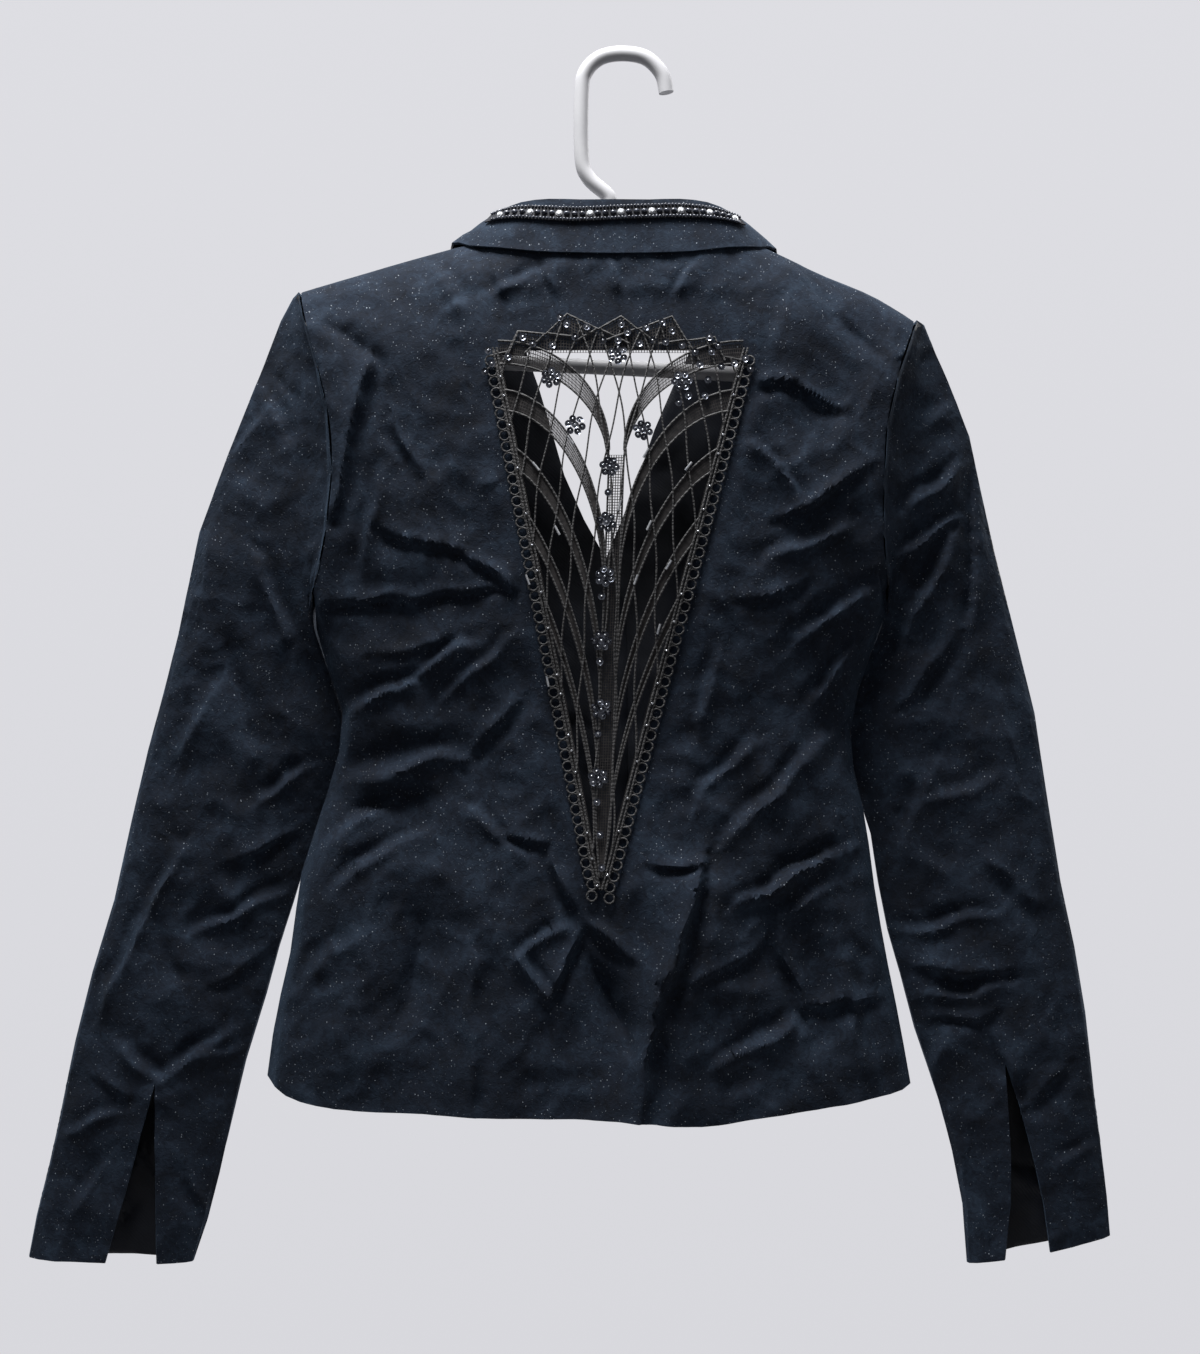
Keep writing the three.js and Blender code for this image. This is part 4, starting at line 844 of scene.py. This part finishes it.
def cupSequin():
    # a faceted cup with a hole, as pressed from foil
    bm = bmesh.new()
    inner = bmesh.ops.create_circle(bm, segments=10, radius=sparkle["hole"] * mm)["verts"]
    edges = bm.edges[:]
    for radius, height in ((1.15, 0.12), (sparkle["radius"], 0.62)):
        grown = bmesh.ops.extrude_edge_only(bm, edges=edges)["geom"]
        verts = [g for g in grown if isinstance(g, bmesh.types.BMVert)]
        edges = [g for g in grown if isinstance(g, bmesh.types.BMEdge)
                 and all(v in verts for v in g.verts)]
        for v in verts:
            flat = Vector((v.co.x, v.co.y, 0)).normalized() * radius * mm
            v.co = (flat.x, flat.y, height * mm)
    bmesh.ops.recalc_face_normals(bm, faces=bm.faces)
    mesh = bpy.data.meshes.new("cupSequin")
    bm.to_mesh(mesh)
    bm.free()
    return mesh


def seedBead(radius, stretch=1.0):
    bm = bmesh.new()
    made = bmesh.ops.create_icosphere(bm, subdivisions=2, radius=radius * mm)["verts"]
    bmesh.ops.scale(bm, verts=made, vec=(stretch, 1, 1))
    mesh = bpy.data.meshes.new("seedBead")
    bm.to_mesh(mesh)
    bm.free()
    return mesh


def scatter(parts):
    # one mesh from copies of small meshes, each with its own matrix
    bm = bmesh.new()
    for mesh, matrix in parts:
        start = len(bm.verts)
        bm.from_mesh(mesh)
        bm.verts.ensure_lookup_table()
        bmesh.ops.transform(bm, verts=bm.verts[start:], matrix=matrix)
    return bm


def makeSparkle():
    chance = random.Random(11)
    cup, dot = cupSequin(), seedBead(0.75)
    cups, dots = [], []

    def put(x, z, lift, tilt):
        turn = turned(outward(x, z), chance.uniform(0, 6.2))
        lean = Matrix.Rotation(chance.uniform(-tilt, tilt), 4, "X") @ Matrix.Rotation(
            chance.uniform(-tilt, tilt), 4, "Y")
        here = Matrix.Translation(onBack(x, z, lift))
        cups.append((cup, here @ turn @ lean))
        dots.append((dot, here @ turn @ lean @ Matrix.Translation((0, 0, 0.5 * mm))))

    for x, z in sparkle["single"]:
        put(x, z, lace["lift"] + 1.6, 0.25)
    for x, z in sparkle["flowers"]:
        start = chance.uniform(0, 6.2)
        for k in range(sparkle["petals"]):
            angle = start + k * math.tau / sparkle["petals"]
            put(x + sparkle["flowerRadius"] * math.cos(angle),
                z + sparkle["flowerRadius"] * math.sin(angle), lace["lift"] + 1.7, 0.45)
        put(x, z, lace["lift"] + 2.5, 0.2)
    for sign in (-1, 1):
        z = -206.0
        while z > wedge["tipZ"]:
            x = wedgeMiddle(z) + sign * (wedgeHalf(z) + 1.4)
            dots.append((dot, Matrix.Translation(onBack(x, z, lace["lift"] + 1.4))))
            z -= chance.uniform(9, 30)
    finishPiece(scatter(cups), "lace_sequins", "sequin")
    finishPiece(scatter(dots), "lace_beads", "silverBead")
    paths = []
    for x, z, slope in sparkle["bugles"]:
        dx, dz = 3.2 * math.cos(math.radians(slope)), -3.2 * math.sin(math.radians(slope))
        paths.append([onBack(x - dx, z - dz, lace["lift"] + 1.9),
                      onBack(x + dx, z + dz, lace["lift"] + 1.9)])
    bm = bmesh.new()
    bm.from_mesh(tubeMesh(paths, 0.7, 8))
    finishPiece(bm, "lace_bugles", "silverBead")


makeSparkle()
print("sequins made")

# Beaded strip on the collar
strip = {"seed": 0.95, "seedPitch": 2.05, "oval": 1.35, "stone": 2.2,
         "stones": [-76, -57, -39, -20, -1, 18, 36, 54, 70], "from": -81, "to": 73}


def stripAt(x):
    # places and normals down the strip at x, as seen from the blazer's back
    found = []
    for k in range(140):
        z = -92 - k * 0.2
        hit, place, normal, index = nodes["collar_trim"].ray_cast(
            Vector((x * mm, -0.2, z * mm)), Vector((0, 1, 0)))
        if hit:
            found.append((place, normal))
    return found


def makeStrip():
    chance = random.Random(8)
    seed, oval = seedBead(strip["seed"]), seedBead(strip["oval"], 1.5)
    seeds, ovals, stones = [], [], []
    cut = bmesh.new()
    bmesh.ops.create_cone(cut, segments=8, radius1=strip["stone"] * mm,
                          radius2=strip["stone"] * 0.55 * mm, depth=1.1 * mm, cap_ends=True)
    stone = bpy.data.meshes.new("cutStone")
    cut.to_mesh(stone)
    cut.free()
    spread = {}

    def at(x, share, lift):
        key = round(x, 2)
        if key not in spread:
            spread[key] = stripAt(x)
        found = spread[key]
        if len(found) < 5:
            return None
        place, normal = found[int(share * (len(found) - 1))]
        return place + normal * lift * mm, normal

    for share in (0.1, 0.9):
        x = strip["from"]
        last = None
        while x < strip["to"]:
            spot = at(x, share, strip["seed"] * 0.5)
            if spot and (last is None or (spot[0] - last).length > strip["seedPitch"] * mm):
                seeds.append((seed, Matrix.Translation(spot[0])))
                last = spot[0]
            x += 0.35
    marks = strip["stones"]
    for x in marks:
        spot = at(x, 0.5, 0.9)
        if spot:
            stones.append((stone, Matrix.Translation(spot[0]) @ turned(
                spot[1], chance.uniform(0, 3))))
    for a, b in zip(marks, marks[1:]):
        for k in range(1, 4):
            spot = at(mix(a, b, k / 4), 0.5, strip["oval"] * 0.5)
            if spot:
                ovals.append((oval, Matrix.Translation(spot[0])))
    finishPiece(scatter(seeds), "collar_seedBeads", "smokeBead")
    finishPiece(scatter(ovals), "collar_ovalBeads", "smokeBead")
    finishPiece(scatter(stones), "collar_stones", "stone", smooth=False)


bpy.context.view_layer.update()
makeStrip()
nodes["collar_trim"].data.materials.clear()
nodes["collar_trim"].data.materials.append(materials["ribbon"])
print("collar strip made")

# Buttons of the front closing
buttonForm = {"profile": [(0, 0), (8.7, 0), (9, 1.2), (8.8, 2.8), (7.8, 3.5), (6.6, 3.4),
                          (6.0, 2.7), (3, 2.5), (0, 2.5)], "segments": 36}


def makeButton(name):
    low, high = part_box(name)
    bm = bmesh.new()
    verts = [bm.verts.new((r * mm, 0, h * mm)) for r, h in buttonForm["profile"]]
    for a, b in zip(verts, verts[1:]):
        bm.edges.new((a, b))
    bmesh.ops.spin(bm, geom=bm.edges[:] + bm.verts[:], cent=(0, 0, 0), axis=(0, 0, 1),
                   angle=math.tau, steps=buttonForm["segments"], use_merge=True)
    bmesh.ops.remove_doubles(bm, verts=bm.verts, dist=1e-6)
    bmesh.ops.recalc_face_normals(bm, faces=bm.faces)
    centre = (low + high) / 2
    bmesh.ops.transform(bm, verts=bm.verts, matrix=Matrix.Translation(
        (centre.x, low.y, centre.z)) @ Matrix.Rotation(-math.pi / 2, 4, "X"))
    piece = finishPiece(bm, name + "_turned", "button")
    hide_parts(name)


for index in (1, 2, 3):
    makeButton(f"button_{index}")
print("buttons made")

# Hanger
hanger = {
    "radius": 4.75,
    "hook": [(28, -20), (25, -8), (15, 2), (0, 4.75), (-14, 2), (-23, -7), (-25.5, -20),
             (-25.5, -60), (-21, -74), (-9, -85), (-8, -91.8)],
    "frame": [(-8, -97), (-40, -107), (-85, -122.3), (-128, -135.3), (-165, -145.9),
              (-181, -152), (-187, -163), (-185, -175), (-174, -184), (-155, -187),
              (-14, -193.5), (135, -201), (155, -200), (168, -192), (171, -178), (166, -167),
              (152, -158), (122, -145.3), (80, -127), (30, -107)],
}


def smoothRoute(route, closed, steps=6):
    points = [Vector((x, 0, z)) for x, z in route]
    count = len(points)
    out = []
    for i in range(count if closed else count - 1):
        if closed:
            a, b, c, d = (points[(i + k) % count] for k in (-1, 0, 1, 2))
        else:
            a, b = points[max(0, i - 1)], points[i]
            c, d = points[i + 1], points[min(count - 1, i + 2)]
        for k in range(steps):
            t = k / steps
            out.append(0.5 * (2 * b + (c - a) * t + (2 * a - 5 * b + 4 * c - d) * t ** 2
                              + (3 * b - a - 3 * c + d) * t ** 3) * mm)
    if not closed:
        out.append(points[-1] * mm)
    return out


for part, closed in (("hook", False), ("frame", True)):
    bm = bmesh.new()
    bm.from_mesh(tubeMesh([smoothRoute(hanger[part], closed)], hanger["radius"], 20, closed))
    piece = finishPiece(bm, f"hanger_{part}_tube", "hanger")
    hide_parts(f"hanger_{part}")
print("hanger made")

# Camera, light and floor
photoView = {"angle": 39.25, "place": (-0.0139, -1.2, -0.3893), "sensorMm": 36}
camera = bpy.data.cameras.new("camera")
camera.sensor_fit = "VERTICAL"
camera.sensor_height = photoView["sensorMm"]
camera.angle = math.radians(photoView["angle"])
view = bpy.data.objects.new("camera", camera)
view.location = photoView["place"]
view.rotation_euler = (math.pi / 2, 0, 0)
bpy.context.scene.collection.objects.link(view)
bpy.context.scene.camera = view

world = bpy.data.worlds.new("paleRoom")
bpy.context.scene.world = world
world.use_nodes = True
world.node_tree.nodes.clear()
compass = addNode(world.node_tree, "ShaderNodeTexCoord").outputs["Generated"]
compass = addNode(world.node_tree, "ShaderNodeSeparateXYZ", links={0: compass})
skyward = addNode(world.node_tree, "ShaderNodeMapRange", {1: -1.0, 2: 1.0},
                  {0: compass.outputs["Z"]})
room = addNode(world.node_tree, "ShaderNodeValToRGB", links={"Fac": skyward.outputs[0]},
               stops=[(0.15, "#4c4c50"), (0.32, "#d8d8dd"), (0.68, "#dedee3"), (0.85, "#ffffff")])
# the wall's side is bright and the side behind the camera dim, so that folds keep their shade
lit = addNode(world.node_tree, "ShaderNodeMapRange", {1: -0.1, 2: 0.35, 3: 0.22, 4: 1.0},
              {0: compass.outputs["Y"]})
room = addNode(world.node_tree, "ShaderNodeBackground", links={"Color": room.outputs["Color"],
               "Strength": lit.outputs[0]})
addNode(world.node_tree, "ShaderNodeOutputWorld", links={"Surface": room.outputs[0]})
bpy.context.scene.view_settings.view_transform = "Standard"


def areaLight(name, place, aim, size, power):
    data = bpy.data.lights.new(name, "AREA")
    data.size = size
    data.energy = power
    lamp = bpy.data.objects.new(name, data)
    lamp.location = place
    lamp.rotation_euler = (Vector(aim) - Vector(place)).to_track_quat("-Z", "Y").to_euler()
    bpy.context.scene.collection.objects.link(lamp)


areaLight("key", (-0.2, -0.34, 0.9), (0, 0, -0.3), 0.5, 31)
areaLight("fill", (1.4, 1.2, 0.3), (0, 0, -0.4), 1.0, 10)

floorMesh = bpy.data.meshes.new("floor")
bm = bmesh.new()
bmesh.ops.create_grid(bm, x_segments=4, y_segments=4, size=0.6)
bmesh.ops.translate(bm, verts=bm.verts, vec=(0, 0, -1.7))
bm.to_mesh(floorMesh)
bm.free()
floor = bpy.data.objects.new("floor", floorMesh)
floorMesh.materials.append(makeToned("paintedFloor", "#d9d9dc", "#dededf", 300.0,
                                     {"Roughness": 0.8}))
bpy.context.scene.collection.objects.link(floor)

print("scene made")
